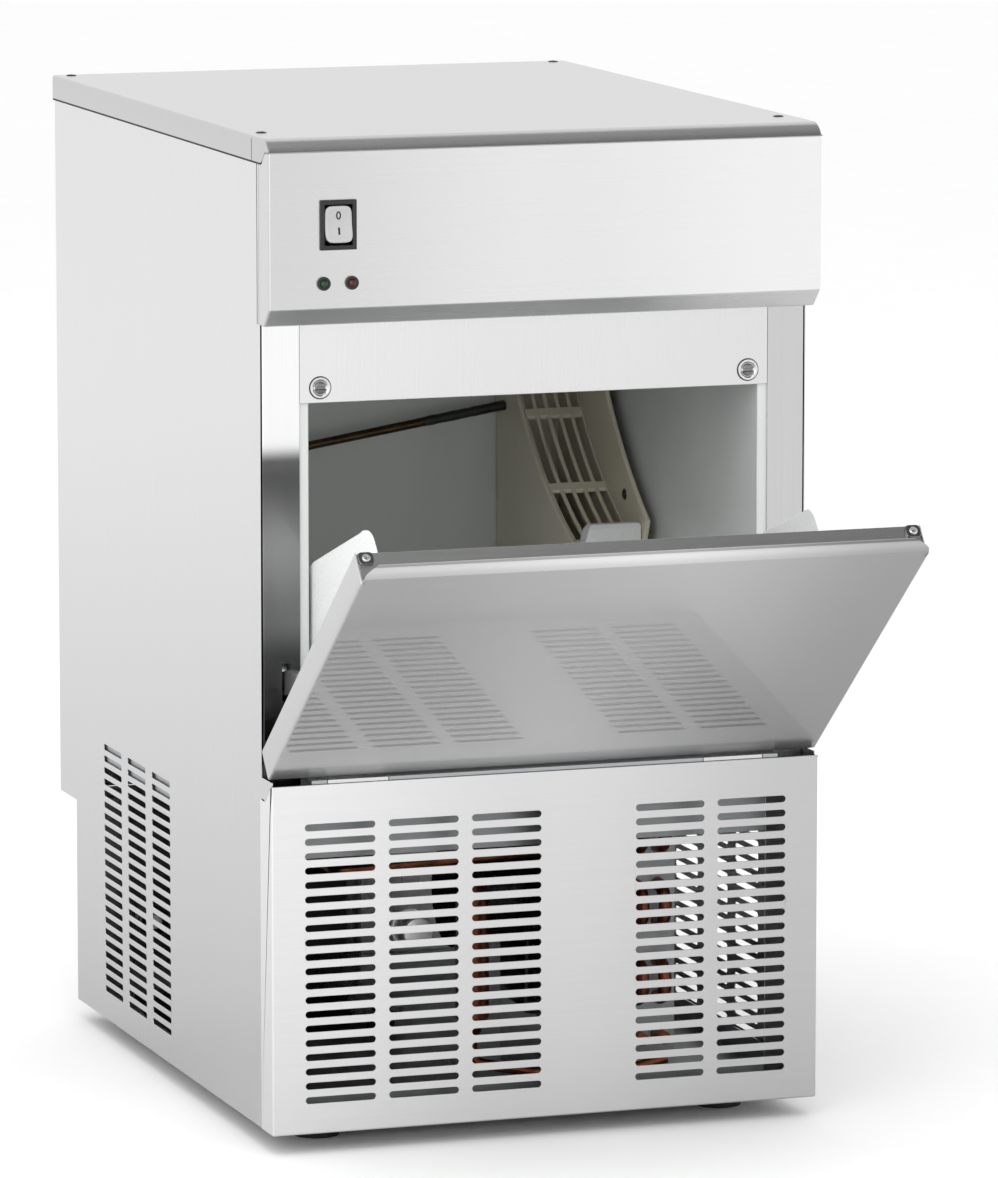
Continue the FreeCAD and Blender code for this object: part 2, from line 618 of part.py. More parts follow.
def door_skin():
    """Outer sheet of the door: front, returns at the ends and the foot, and the curled grip lip."""
    part = new_body("door_skin")
    curl_y = "door_front + lip_radius"
    tip_y = f"{curl_y} + lip_flat"
    outer = new_sketch(part, "YZ", "skin_outer")
    draw_outline(outer, [("door_front", "door_base"), ("door_back", "door_base"),
                         ("door_back", "door_top"), (tip_y, "door_top"),
                         (tip_y, "door_top + lip_radius"), (curl_y, "door_top + lip_radius"),
                         ("door_front", "door_top", curl_y, "door_top", 1)])
    pad(part, outer, "width", both=True)
    inner = new_sketch(part, "YZ", "skin_inner")
    draw_outline(inner, [("door_front + sheet", "door_base + sheet"),
                         ("door_back + 5", "door_base + sheet"), ("door_back + 5", "door_top + 20"),
                         (f"{tip_y} + 5", "door_top + 20"),
                         (f"{tip_y} + 5", "door_top + lip_radius - sheet"),
                         (curl_y, "door_top + lip_radius - sheet"),
                         ("door_front + sheet", "door_top", curl_y, "door_top", 1)])
    pocket(part, inner, "width - 2*sheet")
    ends = new_sketch(part, "XZ", "skin_lip_ends")
    corner = "width/2 - lip_radius"
    for side in ("-1", "1"):
        turn = int(side)
        draw_outline(ends, [(f"{side}*{corner.join('()')}", "door_top + lip_radius + 3"),
                            (f"{side}*{corner.join('()')}", "door_top + lip_radius"),
                            (f"{side}*width/2", "door_top", f"{side}*{corner.join('()')}",
                             "door_top", -turn),
                            (f"{side}*(width/2 + 3)", "door_top"),
                            (f"{side}*(width/2 + 3)", "door_top + lip_radius + 3")])
    pocket(part, ends)
    notches = new_sketch(part, "XY", "skin_notches", "door_base")
    for side in ("-1", "1"):
        draw_rectangle(notches, f"{side}*(knuckle_inner - 1)", f"{side}*(knuckle_outer + 1)",
                       "-1.5", "door_back + 5")
    pocket(part, notches, "4")
    on_door(part)


def door_filling():
    """Foam core of the door, cleared around the hinges."""
    part = new_body("door_insulation")
    face = new_sketch(part, "YZ", "filling_section")
    draw_rectangle(face, "door_front + sheet + 0.1", "door_back - 2.8",
                   "door_base + 24", "door_top - 1.2")
    pad(part, face, "width - 2*sheet - 1", both=True)
    on_door(part)


def door_liner():
    """White moulded inner face of the door, with the raised field that closes the bin."""
    part = new_body("door_liner")
    pan = new_sketch(part, "XZ", "liner_pan", "-door_back + 0.9 + 1.8")
    half = "width/2 - sheet - 0.4"
    draw_rectangle(pan, f"-({half})", half, "door_base + 24", "door_top - 1.2")
    pad(part, pan, "1.8", backwards=True)
    field = new_sketch(part, "XZ", "liner_field", "-door_back + 1.5")
    draw_rectangle(field, "-gusset_outer + gusset_sheet + 0.3", "gusset_outer - gusset_sheet - 0.3",
                   "20", "205")
    pad(part, field, "7.5", backwards=True)
    on_door(part)


def door_gussets():
    """White side walls that keep the ice in while the door is open."""
    part = new_body("gusset")
    profile = new_sketch(part, "YZ", "gusset_profile", "gusset_outer - gusset_sheet")
    back = "door_back + 0.1"
    draw_outline(profile, [(back, "20"), ("108", "27"), ("102", "60"), ("69.5", "148"),
                           ("55", "162", "55", "146", 1), (back, "165")])
    pad(part, profile, "gusset_sheet")
    on_door(group("door_gussets", part, mirror(part)))


def door_stop_arms():
    """Arms on the door's back that slide through the jambs and hook behind them when it is open."""
    part = new_body("stop_arm")
    profile = new_sketch(part, "YZ", "arm_profile", "arm_inner")
    low_y, high_y = "arm_low * cos(10)", "arm_high * cos(16)"
    low_z, high_z = "arm_low * sin(10)", "arm_high * sin(16)"
    back = "door_back + 0.1"
    draw_outline(profile, [(back, f"sqrt(arm_low^2 - ({back})^2)"),
                           (low_y, low_z, "0", "0", -1),
                           ("hook_high * cos(10)", "hook_high * sin(10)"),
                           ("hook_high * cos(16)", "hook_high * sin(16)"),
                           (high_y, high_z),
                           (back, f"sqrt(arm_high^2 - ({back})^2)", "0", "0", 1)])
    pad(part, profile, "arm_outer - arm_inner")
    on_door(group("door_stop_arms", part, mirror(part)))


def door_top_plate():
    """Flat strip behind the grip lip, between the two ends of the skin."""
    part = new_body("door_top_plate")
    section = new_sketch(part, "YZ", "top_plate_section")
    front = "door_front + lip_radius + lip_flat + 0.2"
    draw_rectangle(section, front, "door_back - 0.9", "door_top - 1", "door_top - 0.1")
    pad(part, section, "width - 2*sheet - 0.4", both=True)
    holes = new_sketch(part, "XY", "top_plate_holes")
    for x in ("-(width/2 - 5)", "width/2 - 5"):
        draw_circle(holes, x, "10", "1.5")
    pocket(part, holes)
    on_door(part)


def door_screws():
    screws = []
    for side, x in (("left", "-(width/2 - 5)"), ("right", "width/2 - 5")):
        head = rod(f"door_screw_{side}_head", "Z", (x, "10", "door_top - 0.1"), "3", "1.8")
        shank = rod(f"door_screw_{side}_shank", "Z", (x, "10", "door_top - 1.15"), "1.4", "1.2")
        screws.append(fuse(f"door_screw_{side}", head, shank))
    on_door(group("door_screws", *screws))


def hinges():
    """Two hinges at the foot of the door: fixed leaf, door leaf and pin for each."""
    fixed = new_body("hinge_fixed")
    section = new_sketch(fixed, "YZ", "fixed_section", "hinge_inner")
    draw_outline(section, [("1.5", "sill_low"), ("frame_y - 0.05", "sill_low"),
                           ("frame_y - 0.05", "pivot_z - 2"), ("frame_y - 0.85", "pivot_z - 2"),
                           ("frame_y - 0.85", "sill_top"), ("1.5", "sill_top")])
    pad(fixed, section, "hinge_outer - hinge_inner")
    knuckle = new_sketch(fixed, "YZ", "fixed_knuckle", "knuckle_inner")
    draw_circle(knuckle, "pivot_y", "pivot_z", "knuckle_radius")
    pad(fixed, knuckle, "knuckle_outer - knuckle_inner")
    web = new_sketch(fixed, "YZ", "fixed_web", "knuckle_inner")
    draw_rectangle(web, "pivot_y + 2", "frame_y - 0.05", "pivot_z - 2.4", "pivot_z - 0.6")
    pad(fixed, web, "knuckle_outer - knuckle_inner")
    bore = new_sketch(fixed, "YZ", "fixed_bore")
    draw_circle(bore, "pivot_y", "pivot_z", "pin_radius + 0.15")
    pocket(fixed, bore)
    on_cabinet(group("hinge_leaves_body", fixed, mirror(fixed)))

    moving = new_body("hinge_moving")
    for name, start, end in (("inner", "hinge_inner", "knuckle_inner - 0.5"),
                             ("outer", "knuckle_outer + 0.5", "hinge_outer")):
        ring = new_sketch(moving, "YZ", f"moving_{name}", start)
        draw_circle(ring, "0", "0", "knuckle_radius - 0.3")
        pad(moving, ring, f"{end} - ({start})")
        if name == "inner":
            leaf = new_sketch(moving, "YZ", "moving_leaf", "hinge_inner")
            draw_rectangle(leaf, "door_front + sheet + 0.05", "-3.4", "0", "door_base + 23.5")
            pad(moving, leaf, "hinge_outer - hinge_inner")
            relief = new_sketch(moving, "YZ", "moving_relief", "knuckle_inner - 0.5")
            draw_rectangle(relief, "-7", "7", "-6", "5.5")
            one_way_pocket(moving, relief, "knuckle_outer - knuckle_inner + 1", backwards=True)
    bore = new_sketch(moving, "YZ", "moving_bore")
    draw_circle(bore, "0", "0", "pin_radius + 0.02")
    pocket(moving, bore)
    on_door(group("hinge_leaves_door", moving, mirror(moving)))

    pin = new_body("hinge_pin")
    end = new_sketch(pin, "YZ", "pin_end", "hinge_inner - 2")
    draw_circle(end, "0", "0", "pin_radius")
    pad(pin, end, "hinge_outer - hinge_inner + 4")
    on_door(group("hinge_pins", pin, mirror(pin)))


# ---- ice bin -------------------------------------------------------------------------------------

def bin_liner():
    """White moulded tub, open at the front, with a flange behind the front frame."""
    part = new_body("bin_liner")
    half = "bin_half + bin_wall"
    tub = new_sketch(part, "XY", "liner_tub", "bin_floor - bin_wall")
    draw_rectangle(tub, f"-({half})", half, "bin_front - bin_wall", "bin_back + bin_wall")
    pad(part, tub, "bin_rim - bin_floor + bin_wall")
    flange = new_sketch(part, "XZ", "liner_flange", "-(bin_front - bin_wall)")
    draw_rectangle(flange, "-bin_flange", "bin_flange", "bin_floor - bin_wall", "bin_rim")
    pad(part, flange, "bin_wall", backwards=True)
    hollow = new_sketch(part, "XY", "liner_hollow", "bin_floor")
    draw_rectangle(hollow, "-bin_half", "bin_half", "bin_front", "bin_back")
    one_way_pocket(part, hollow, "bin_rim - bin_floor + 5", backwards=True)
    mouth = new_sketch(part, "XZ", "liner_mouth", "-(bin_front - bin_wall)")
    draw_rectangle(mouth, "-bin_half", "bin_half", "bin_sill", "rail_base - 0.4")
    pocket(part, mouth, "4*bin_wall")
    on_cabinet(part)


def bin_insulation():
    """Foam jacket round the sides, back and floor of the tub."""
    part = new_body("bin_insulation")
    inner = "bin_half + bin_wall + 0.3"
    outer = new_sketch(part, "XY", "foam_outer", "shelf_z + 1.4")
    draw_rectangle(outer, f"-({inner} + foam_side)", f"{inner} + foam_side",
                   "bin_front + 0.3", "bin_back + bin_wall + 0.3 + foam_back")
    pad(part, outer, "bin_rim - shelf_z - 1.4")
    hollow = new_sketch(part, "XY", "foam_hollow", "bin_floor - bin_wall - 0.3")
    draw_rectangle(hollow, f"-({inner})", inner, "-5", "bin_back + bin_wall + 0.3")
    one_way_pocket(part, hollow, "bin_rim - bin_floor + 10", backwards=True)
    on_cabinet(part)


def bin_ceiling():
    """Foam-filled lid over the tub, open above the chute."""
    part = new_body("bin_ceiling")
    plate = new_sketch(part, "XY", "ceiling_plate", "bin_rim + 0.4")
    draw_rectangle(plate, "-bin_flange", "bin_flange", "frame_y + 4", "bin_back + 12")
    pad(part, plate, "10")
    throat = new_sketch(part, "XY", "ceiling_throat")
    draw_rectangle(throat, "chute_left + chute_wall", "chute_right - chute_wall",
                   "250", "bin_back - chute_wall")
    pocket(part, throat)
    on_cabinet(part)


# The slide's side view: from the throat at the back down to the lip, steep at first, then flatter.
SLIDE_BACK_Y, SLIDE_BACK_Z = 318, 407.2
SLIDE_MID_Y, SLIDE_MID_Z = 266, 354.5
SLIDE_END_Y, SLIDE_END_Z = 206, 321


def slide_arc(drop=0):
    """The slide as one arc through three points, or the same arc moved down."""
    return Part.Arc(Vector(0, SLIDE_BACK_Y, SLIDE_BACK_Z - drop),
                    Vector(0, SLIDE_MID_Y, SLIDE_MID_Z - drop),
                    Vector(0, SLIDE_END_Y, SLIDE_END_Z - drop)).toShape()


def polyline(*points):
    return [Part.LineSegment(Vector(0, *start), Vector(0, *end)).toShape()
            for start, end in zip(points, points[1:])]


def across(wire, left, right):
    """Fill a closed side view and stretch it between two x positions."""
    face = Part.Face(wire)
    face.translate(X_AXIS * left)
    return face.extrude(X_AXIS * (right - left))


def ice_chute():
    """Beige chute in the bin's right rear corner: housing, slotted slide and front lip."""
    left, right, wall = value("chute_left"), value("chute_right"), value("chute_wall")
    back, top, base = value("bin_back - 0.3"), value("bin_rim - 0.3"), value("chute_base")
    slope = SLIDE_BACK_Z - SLIDE_MID_Z
    run = SLIDE_BACK_Y - SLIDE_MID_Y
    throat_y = SLIDE_BACK_Y + (top - SLIDE_BACK_Z) * run / slope * 0.55

    left_edges = [slide_arc()]
    left_edges += polyline((SLIDE_END_Y, SLIDE_END_Z), (SLIDE_END_Y, base), (back, base),
                           (back, top), (throat_y, top), (SLIDE_BACK_Y, SLIDE_BACK_Z))
    left_wall = across(Part.Wire(Part.__sortEdges__(left_edges)), left, left + wall)

    guard = Part.Arc(Vector(0, 262, 406), Vector(0, 222, 363), Vector(0, 187, 336)).toShape()
    right_edges = [guard]
    right_edges += polyline((187, 336), (193, 322), (SLIDE_END_Y, base), (back, base),
                            (back, top), (290, top), (262, 406))
    right_wall = across(Part.Wire(Part.__sortEdges__(right_edges)), right - wall, right)
    eye = Part.makeCylinder(3, 12, Vector(right - 6, 227, 347.5), X_AXIS)
    right_wall = right_wall.cut(eye)

    floor = Part.makeBox(right - left - 2 * wall + 0.2, back - SLIDE_END_Y, wall,
                         Vector(left + wall - 0.1, SLIDE_END_Y, base))
    rear = Part.makeBox(right - left - 2 * wall + 0.2, wall, top - base,
                        Vector(left + wall - 0.1, back - wall, base))
    front = Part.makeBox(right - left - 2 * wall + 0.2, wall, SLIDE_END_Z - 4 - base,
                         Vector(left + wall - 0.1, SLIDE_END_Y, base))
    on_cabinet(from_shape("ice_chute_housing", left_wall.multiFuse([right_wall, floor, rear, front])))

    thickness = 2.5
    inside_left, inside_right = left + wall + 0.2, right - wall - 0.2
    edges = [slide_arc(0.3), slide_arc(0.3 + thickness)]
    edges += polyline((SLIDE_BACK_Y, SLIDE_BACK_Z - 0.3), (SLIDE_BACK_Y, SLIDE_BACK_Z - 0.3 - thickness))
    edges += polyline((SLIDE_END_Y, SLIDE_END_Z - 0.3), (SLIDE_END_Y, SLIDE_END_Z - 0.3 - thickness))
    slide = across(Part.Wire(Part.__sortEdges__(edges)), inside_left, inside_right)
    slat, gap = value("slat"), value("slat_gap")
    slots_wide = 5
    first = (inside_left + inside_right) / 2 - (slots_wide * gap + (slots_wide - 1) * slat) / 2
    for number in range(slots_wide):
        x = first + number * (gap + slat)
        for start_y, end_y in ((212, 257), (262, 303), (306.5, 330)):
            slide = slide.cut(Part.makeBox(gap, end_y - start_y, 120, Vector(x, start_y, 300)))
    on_cabinet(from_shape("ice_chute_grille", slide))

    lip = new_body("chute_lip")
    side = new_sketch(lip, "YZ", "lip_side", "chute_left")
    draw_outline(side, [("195", "316"), ("205.7", "316"), ("205.7", "331"), ("203", "334"),
                        ("197", "334"), ("195", "331")])
    pad(lip, side, "chute_right - chute_wall - 0.4 - chute_left")
    dip = new_sketch(lip, "XZ", "lip_dip")
    draw_outline(dip, [("chute_left - 1", "340"), ("chute_left - 1", "317.5"),
                       ("chute_left + 1.5", "318.5"), ("chute_left + 3.6", "321.5"),
                       ("chute_left + 5", "326"), ("chute_left + 6.2", "330.5"),
                       ("chute_left + 8.5", "334.2"), ("chute_left + 8.5", "340")])
    pocket(lip, dip)
    on_cabinet(lip)


def thermostat():
    """Bulb tube across the bin, with the black sleeve where it enters the chute housing."""
    start = Vector(value("-bin_half + 0.3"), value("bulb_y"), value("bulb_left_z"))
    end = Vector(value("chute_left - 0.3"), value("bulb_y"), value("bulb_right_z"))
    along = end - start
    length = along.Length
    radius = value("bulb_radius")
    on_cabinet(from_shape("thermostat_tube", Part.makeCylinder(radius, length, start, along)))
    sleeve_length = 52
    base = end - along * (sleeve_length / length)
    sleeve = Part.makeCylinder(radius + 1.2, sleeve_length - 1, base, along)
    bore = Part.makeCylinder(radius + 0.05, sleeve_length + 4, base - along * (2 / length), along)
    on_cabinet(from_shape("thermostat_sleeve", sleeve.cut(bore)))


def ice_making_head():
    """Evaporator with its cups, coil and spray bar, in a chamber above the throat of the chute."""
    half_x = (value("chute_left") + value("chute_right")) / 2
    plate = Part.makeBox(44, 200, 3, Vector(half_x - 22, 150, 552))
    cups = []
    for column in range(2):
        for row in range(8):
            centre = Vector(half_x - 10.5 + 21 * column, 163 + 24 * row, 530)
            cup = Part.makeCone(8, 10, 22.1, centre)
            cups.append(cup.cut(Part.makeCone(6.8, 8.8, 21, centre - Z_AXIS * 0.01)))
    on_cabinet(from_shape("evaporator_plate", plate.multiFuse(cups)))
    run = [Vector(half_x - 15, 155, 560), Vector(half_x - 15, 345, 560), Vector(half_x, 345, 560),
           Vector(half_x, 158, 560), Vector(half_x + 15, 158, 560), Vector(half_x + 15, 340, 560)]
    on_cabinet(from_shape("evaporator_coil", bent_tube(run, 3.5, 7)))
    bar = Part.makeCylinder(5, 190, Vector(half_x, 155, 496), Y_AXIS)
    nozzles = []
    for row in range(8):
        nozzles.append(Part.makeCone(2.5, 1.5, 9, Vector(half_x, 163 + 24 * row, 500)))
    on_cabinet(from_shape("spray_bar", bar.multiFuse(nozzles)))
    outer = block("chamber_outer", ("chute_left - 6", "bin_half + 6"), ("135", "bin_back + 6"),
                  ("bin_rim + 10.6", "height - 12"))
    inner = block("chamber_inner", ("chute_left - 3", "bin_half + 3"), ("138", "bin_back + 3"),
                  ("bin_rim + 5", "height - 15"))
    on_cabinet(cut("spray_chamber", outer, inner))


# ---- machine compartment -------------------------------------------------------------------------

def compartment_shelf():
    """Galvanised pan under the bin: deep flanges turned down, and a front sill between the hinges."""
    half, front, back = "width/2 - overhang - sheet - 1.2", "frame_y + 1.2", "step_y - 2"
    outer = block("shelf_outer", (f"-({half})", half), (front, back),
                  ("shelf_z - shelf_drop", "shelf_z + 1"))
    inner = block("shelf_inner", (f"-({half}) + 1", f"{half} - 1"), (f"{front} + 1", f"{back} - 1"),
                  ("shelf_z - shelf_drop - 5", "shelf_z"))
    reach = "jamb_inner - seam"
    sill = block("sill", (f"-({reach})", reach), ("1.5", f"{front} + 1"), ("sill_low", "sill_top"))
    step = block("sill_step", (f"-({reach})", reach), (front, f"{front} + 1"),
                 ("shelf_z", "sill_top"))
    reliefs = []
    for side, low, high in (("left", f"-({half}) - 1", "-jamb_inner - 4"),
                            ("right", "jamb_inner + 4", f"{half} + 1")):
        reliefs.append(block(f"shelf_relief_{side}", (low, high), (f"{front} - 1", "frame_y + 19"),
                             ("shelf_z - shelf_drop - 5", "shelf_z + 1.2")))
    for side, low, high in (("left", "-hinge_outer - 0.5", "-hinge_inner + 0.5"),
                            ("right", "hinge_inner - 0.5", "hinge_outer + 0.5")):
        reliefs.append(block(f"sill_notch_{side}", (low, high), ("0", "frame_y + 0.3"),
                             ("sill_low - 1", "sill_top + 1")))
    on_cabinet(cut("compartment_shelf", fuse("shelf_body", outer, sill, step), inner, *reliefs))


def condenser():
    """Finned coil beside the right panel: fins, copper hairpins and two end plates."""
    x0, thick = value("core_x"), value("core_thick")
    front, length = value("core_front"), value("core_length")
    base, high = value("core_base"), value("core_height")
    pitch, fin = value("fin_pitch"), value("fin_sheet")
    radius = value("coil_radius")
    rows = 7
    rise = high / rows
    columns = (x0 + thick * 0.28, x0 + thick * 0.72)
    heights = [base + rise * (row + 0.5) for row in range(rows)]

    one_fin = Part.makeBox(thick, fin, high, Vector(x0, front, base))
    bores = []
    for x in columns:
        for z in heights:
            bores.append(Part.makeCylinder(radius + 0.1, 4, Vector(x, front - 2, z), Y_AXIS))
    one_fin = one_fin.cut(Part.makeCompound(bores))
    fins = []
    for number in range(1, int(length / pitch)):
        fins.append(one_fin.translated(Y_AXIS * (pitch * number)))
    on_cabinet(from_shape("condenser_fins", Part.makeCompound(fins)))

    plates = []
    for y in (front, front + length - 1.2):
        plate = Part.makeBox(thick + 4, 1.2, high + 8, Vector(x0 - 2, y, base - 4))
        for bore in bores:
            plate = plate.cut(bore.translated(Y_AXIS * (y - front)))
        plates.append(plate)
    on_cabinet(from_shape("condenser_end_plates", Part.makeCompound(plates)))

    hairpins = []
    for x in columns:
        route = []
        for row, z in enumerate(heights):
            ends = [front - 14, front + length + 14]
            if row % 2:
                ends.reverse()
            route += [Vector(x, ends[0], z), Vector(x, ends[1], z)]
        hairpins.append(bent_tube(route, radius, rise / 2 - 0.2))
    on_cabinet(from_shape("condenser_coil", Part.makeCompound(hairpins)))


def fan():
    """Shroud in front of the condenser, motor on its stand and the five-bladed fan."""
    x0 = value("core_x") - 10
    y0, span = value("core_front"), value("core_length")
    z0, high = value("core_base"), value("core_height")
    fan_y, fan_z = value("fan_y"), value("fan_z")
    throat = value("blade_radius") + 4
    plate = Part.makeBox(1, span, high, Vector(x0, y0, z0))
    rim = Part.makeBox(8, span, high, Vector(x0, y0, z0))
    rim = rim.cut(Part.makeBox(10, span - 2, high - 2, Vector(x0 - 1, y0 + 1, z0 + 1)))
    collar = Part.makeCylinder(throat + 1, 14, Vector(x0 - 13, fan_y, fan_z), X_AXIS)
    bore = Part.makeCylinder(throat, 30, Vector(x0 - 20, fan_y, fan_z), X_AXIS)
    on_cabinet(from_shape("fan_shroud", plate.multiFuse([rim, collar]).cut(bore)))

    motor_end = value("fan_x - hub_length/2 - 2")
    length = value("motor_length")
    can = rod("motor_can", "X", (f"{motor_end - length}", "fan_y", "fan_z"), "motor_radius", length)
    shaft = rod("motor_shaft", "X", (f"{motor_end - 1}", "fan_y", "fan_z"), "shaft_radius",
                "hub_length")
    on_cabinet(fuse("fan_motor", can, shaft))
    foot = block("stand_foot", (f"{motor_end - length}", f"{motor_end}"), ("fan_y - 24", "fan_y + 24"),
                 ("tray_z + tray_sheet", "tray_z + tray_sheet + 2"))
    post = block("stand_post", (f"{motor_end - length + 12}", f"{motor_end - 12}"),
                 ("fan_y - 16", "fan_y + 16"), ("tray_z + tray_sheet", "fan_z - motor_radius + 6"))
    saddle = rod("stand_saddle", "X", (f"{motor_end - length - 2}", "fan_y", "fan_z"),
                 "motor_radius + 0.1", length + 4)
    on_cabinet(cut("fan_motor_stand", fuse("stand_body", foot, post), saddle))

    blade = new_body("fan_blade")
    hub = new_sketch(blade, "XY", "hub_disc", "-hub_length/2")
    draw_circle(hub, "0", "0", "hub_radius")
    pad(blade, hub, "hub_length")
    wing = new_sketch(blade, "XY", "wing")
    draw_outline(wing, [("hub_radius - 3", "-8"), ("blade_radius - 6", "-24"),
                        ("blade_radius - 2", "16"), ("hub_radius - 3", "12")])
    wing.AttachmentOffset = Placement(Vector(0, 0, 0), Rotation(X_AXIS, 24))
    wing_pad = pad(blade, wing, "1.8", both=True)
    ring = blade.newObject("PartDesign::PolarPattern", "wing_ring")
    ring.Originals = [wing_pad]
    axle = next(item for item in blade.Origin.OriginFeatures if item.Role == "Z_Axis")
    ring.Axis = (axle, [""])
    ring.Angle = 360
    bind(ring, Occurrences="blade_count")
    blade.Tip = ring
    bore = new_sketch(blade, "XY", "hub_bore", "-hub_length/2 - 1")
    draw_circle(bore, "0", "0", "shaft_radius + 0.3")
    one_way_pocket(blade, bore, "hub_length - 1", backwards=True)
    blade.Placement.Rotation = Rotation(Z_AXIS, X_AXIS)
    bind(blade, Placement__Base__x="fan_x", Placement__Base__y="front_y + fan_y",
         Placement__Base__z="fan_z")
    sub_parts.append(blade)


def compressor():
    """Hermetic compressor: shell welded to its mounting plate, rubber feet and terminal cover."""
    shell = new_body("compressor_shell")
    half = new_sketch(shell, "XZ", "shell_half")
    dome = "30"
    draw_outline(half, [("0", "shell_base"), ("shell_radius - 20", "shell_base"),
                        ("shell_radius", "shell_base + 20", "shell_radius - 20", "shell_base + 20", 1),
                        ("shell_radius", f"shell_top - {dome}"),
                        (f"shell_radius - {dome}", "shell_top", f"shell_radius - {dome}",
                         f"shell_top - {dome}", 1), ("0", "shell_top")])
    spin = shell.newObject("PartDesign::Revolution", "shell_spin")
    spin.Profile = half
    spin.ReferenceAxis = (half, ["V_Axis"])
    spin.Angle = 360
    seam = new_sketch(shell, "XY", "shell_seam", "(shell_base + shell_top)/2 + 12")
    draw_circle(seam, "0", "0", "shell_radius + 1.6")
    pad(shell, seam, "4")
    bind(shell, Placement__Base__x="compressor_x", Placement__Base__y="compressor_y")
    plate = block("mount_plate", ("compressor_x - 72", "compressor_x + 72"),
                  ("compressor_y - 52", "compressor_y + 52"), ("shell_base - 3", "shell_base + 0.5"))
    rubbers, bores = [], []
    for number, (dx, dy) in enumerate(((-60, -40), (60, -40), (60, 40), (-60, 40))):
        place = (f"compressor_x + {dx}", f"compressor_y + {dy}")
        bores.append(rod(f"mount_bore_{number}", "Z", (*place, "shell_base - 6"), "5.2", "12"))
        low = rod(f"rubber_{number}_low", "Z", (*place, "tray_z + tray_sheet"), "9",
                  "shell_base - 3.1 - tray_z - tray_sheet")
        neck = rod(f"rubber_{number}_neck", "Z", (*place, "tray_z + tray_sheet + 2"), "5",
                   "shell_base - tray_z")
        rubbers.append(fuse(f"rubber_{number}", low, neck))
    on_cabinet(cut("compressor_body", fuse("shell_on_plate", shell, plate), *bores))
    on_cabinet(group("compressor_feet", *rubbers))
    on_cabinet(block("compressor_terminal_cover", ("compressor_x - 24", "compressor_x + 24"),
                     ("compressor_y - shell_radius - 26", "compressor_y - shell_radius - 2"),
                     ("shell_base + 46", "shell_base + 94")))


def refrigerant_lines():
    """Copper tubes and the filter drier between compressor, condenser and evaporator."""
    radius = value("tube_radius")
    comp_x, comp_y = value("compressor_x"), value("compressor_y")
    core_x, core_front = value("core_x"), value("core_front")
    discharge = [Vector(comp_x + 45, comp_y - 52, 120), Vector(comp_x + 45, comp_y - 110, 150),
                 Vector(comp_x - 40, 90, 160), Vector(comp_x - 40, 38, 160),
                 Vector(20, 38, 165), Vector(core_x - 14, 34, 190), Vector(core_x + 9, 30, 204)]
    drier = Part.makeCylinder(10, 74, Vector(-26, 62, 62), Z_AXIS)
    for z, turn in ((62, -1), (136, 1)):
        neck = Part.makeCone(10, radius + 0.6, 12, Vector(-26, 62, z), Z_AXIS * turn)
        drier = drier.fuse(neck)
    on_cabinet(from_shape("filter_drier", drier))
    liquid = [Vector(-26, 62, 49.5), Vector(-26, 62, 34), Vector(10, 50, 28), Vector(core_x - 10, 30, 28),
              Vector(core_x + 23, 28, 36)]
    suction = [Vector(comp_x - 30, comp_y - 66, 110), Vector(comp_x - 30, comp_y - 90, 110),
               Vector(comp_x - 30, comp_y - 90, 196), Vector(comp_x - 20, 372, 196)]
    tubes = [bent_tube(discharge, radius, 9), bent_tube(liquid, radius, 7),
             bent_tube(suction, radius, 12)]
    on_cabinet(from_shape("refrigerant_tubes", Part.makeCompound(tubes)))


def water_and_power():
    """Pump, inlet valve, drain, connections through the lower rear panel and the control box."""
    wall_y = value("step_y")
    on_cabinet(block("electrical_box", ("-160", "-64"), ("60", "168"), ("498", "580")))

    body = block("pump_body", ("92", "128"), ("bin_back + 16", "bin_back + 52"), ("262", "292"))
    motor = rod("pump_motor", "Z", ("110", "bin_back + 34", "291"), "17", "46")
    on_cabinet(fuse("water_pump", body, motor))

    housing = block("valve_housing", ("inlet_x - 14", "inlet_x + 14"), (wall_y - 46, wall_y - 20),
                    ("inlet_z - 14", "inlet_z + 14"))
    coil = rod("valve_coil", "Z", ("inlet_x", f"{wall_y - 33}", "inlet_z + 13"), "13", "34")
    neck = rod("inlet_neck", "Y", ("inlet_x", f"{wall_y - 20.5}", "inlet_z"), "inlet_radius - 1.2",
               "21.5")
    thread = rod("inlet_thread", "Y", ("inlet_x", f"{wall_y + 1}", "inlet_z"), "inlet_radius",
                 "inlet_reach")
    bore = rod("inlet_bore", "Y", ("inlet_x", f"{wall_y - 16}", "inlet_z"), "8.5", "60")
    on_cabinet(cut("water_inlet_valve", fuse("valve_body", housing, coil, neck, thread), bore))

    inner = rod("spigot_neck", "Y", ("drain_x", f"{wall_y - 20}", "drain_z"), "drain_radius - 1",
                "21.5")
    outer = rod("spigot_tube", "Y", ("drain_x", f"{wall_y + 1}", "drain_z"), "drain_radius",
                "drain_reach")
    hole = rod("spigot_bore", "Y", ("drain_x", f"{wall_y - 22}", "drain_z"), "9.5", "80")
    on_cabinet(cut("drain_spigot", fuse("spigot_body", inner, outer), hole))

    nut = rod("gland_nut", "Y", ("gland_x", f"{wall_y + 0.1}", "gland_z"), "gland_radius + 4", "12")
    neck = rod("gland_neck", "Y", ("gland_x", f"{wall_y - 8}", "gland_z"), "gland_radius", "9")
    passage = rod("gland_passage", "Y", ("gland_x", f"{wall_y - 10}", "gland_z"), "4.5", "30")
    on_cabinet(cut("power_gland", fuse("gland_body", nut, neck), passage))


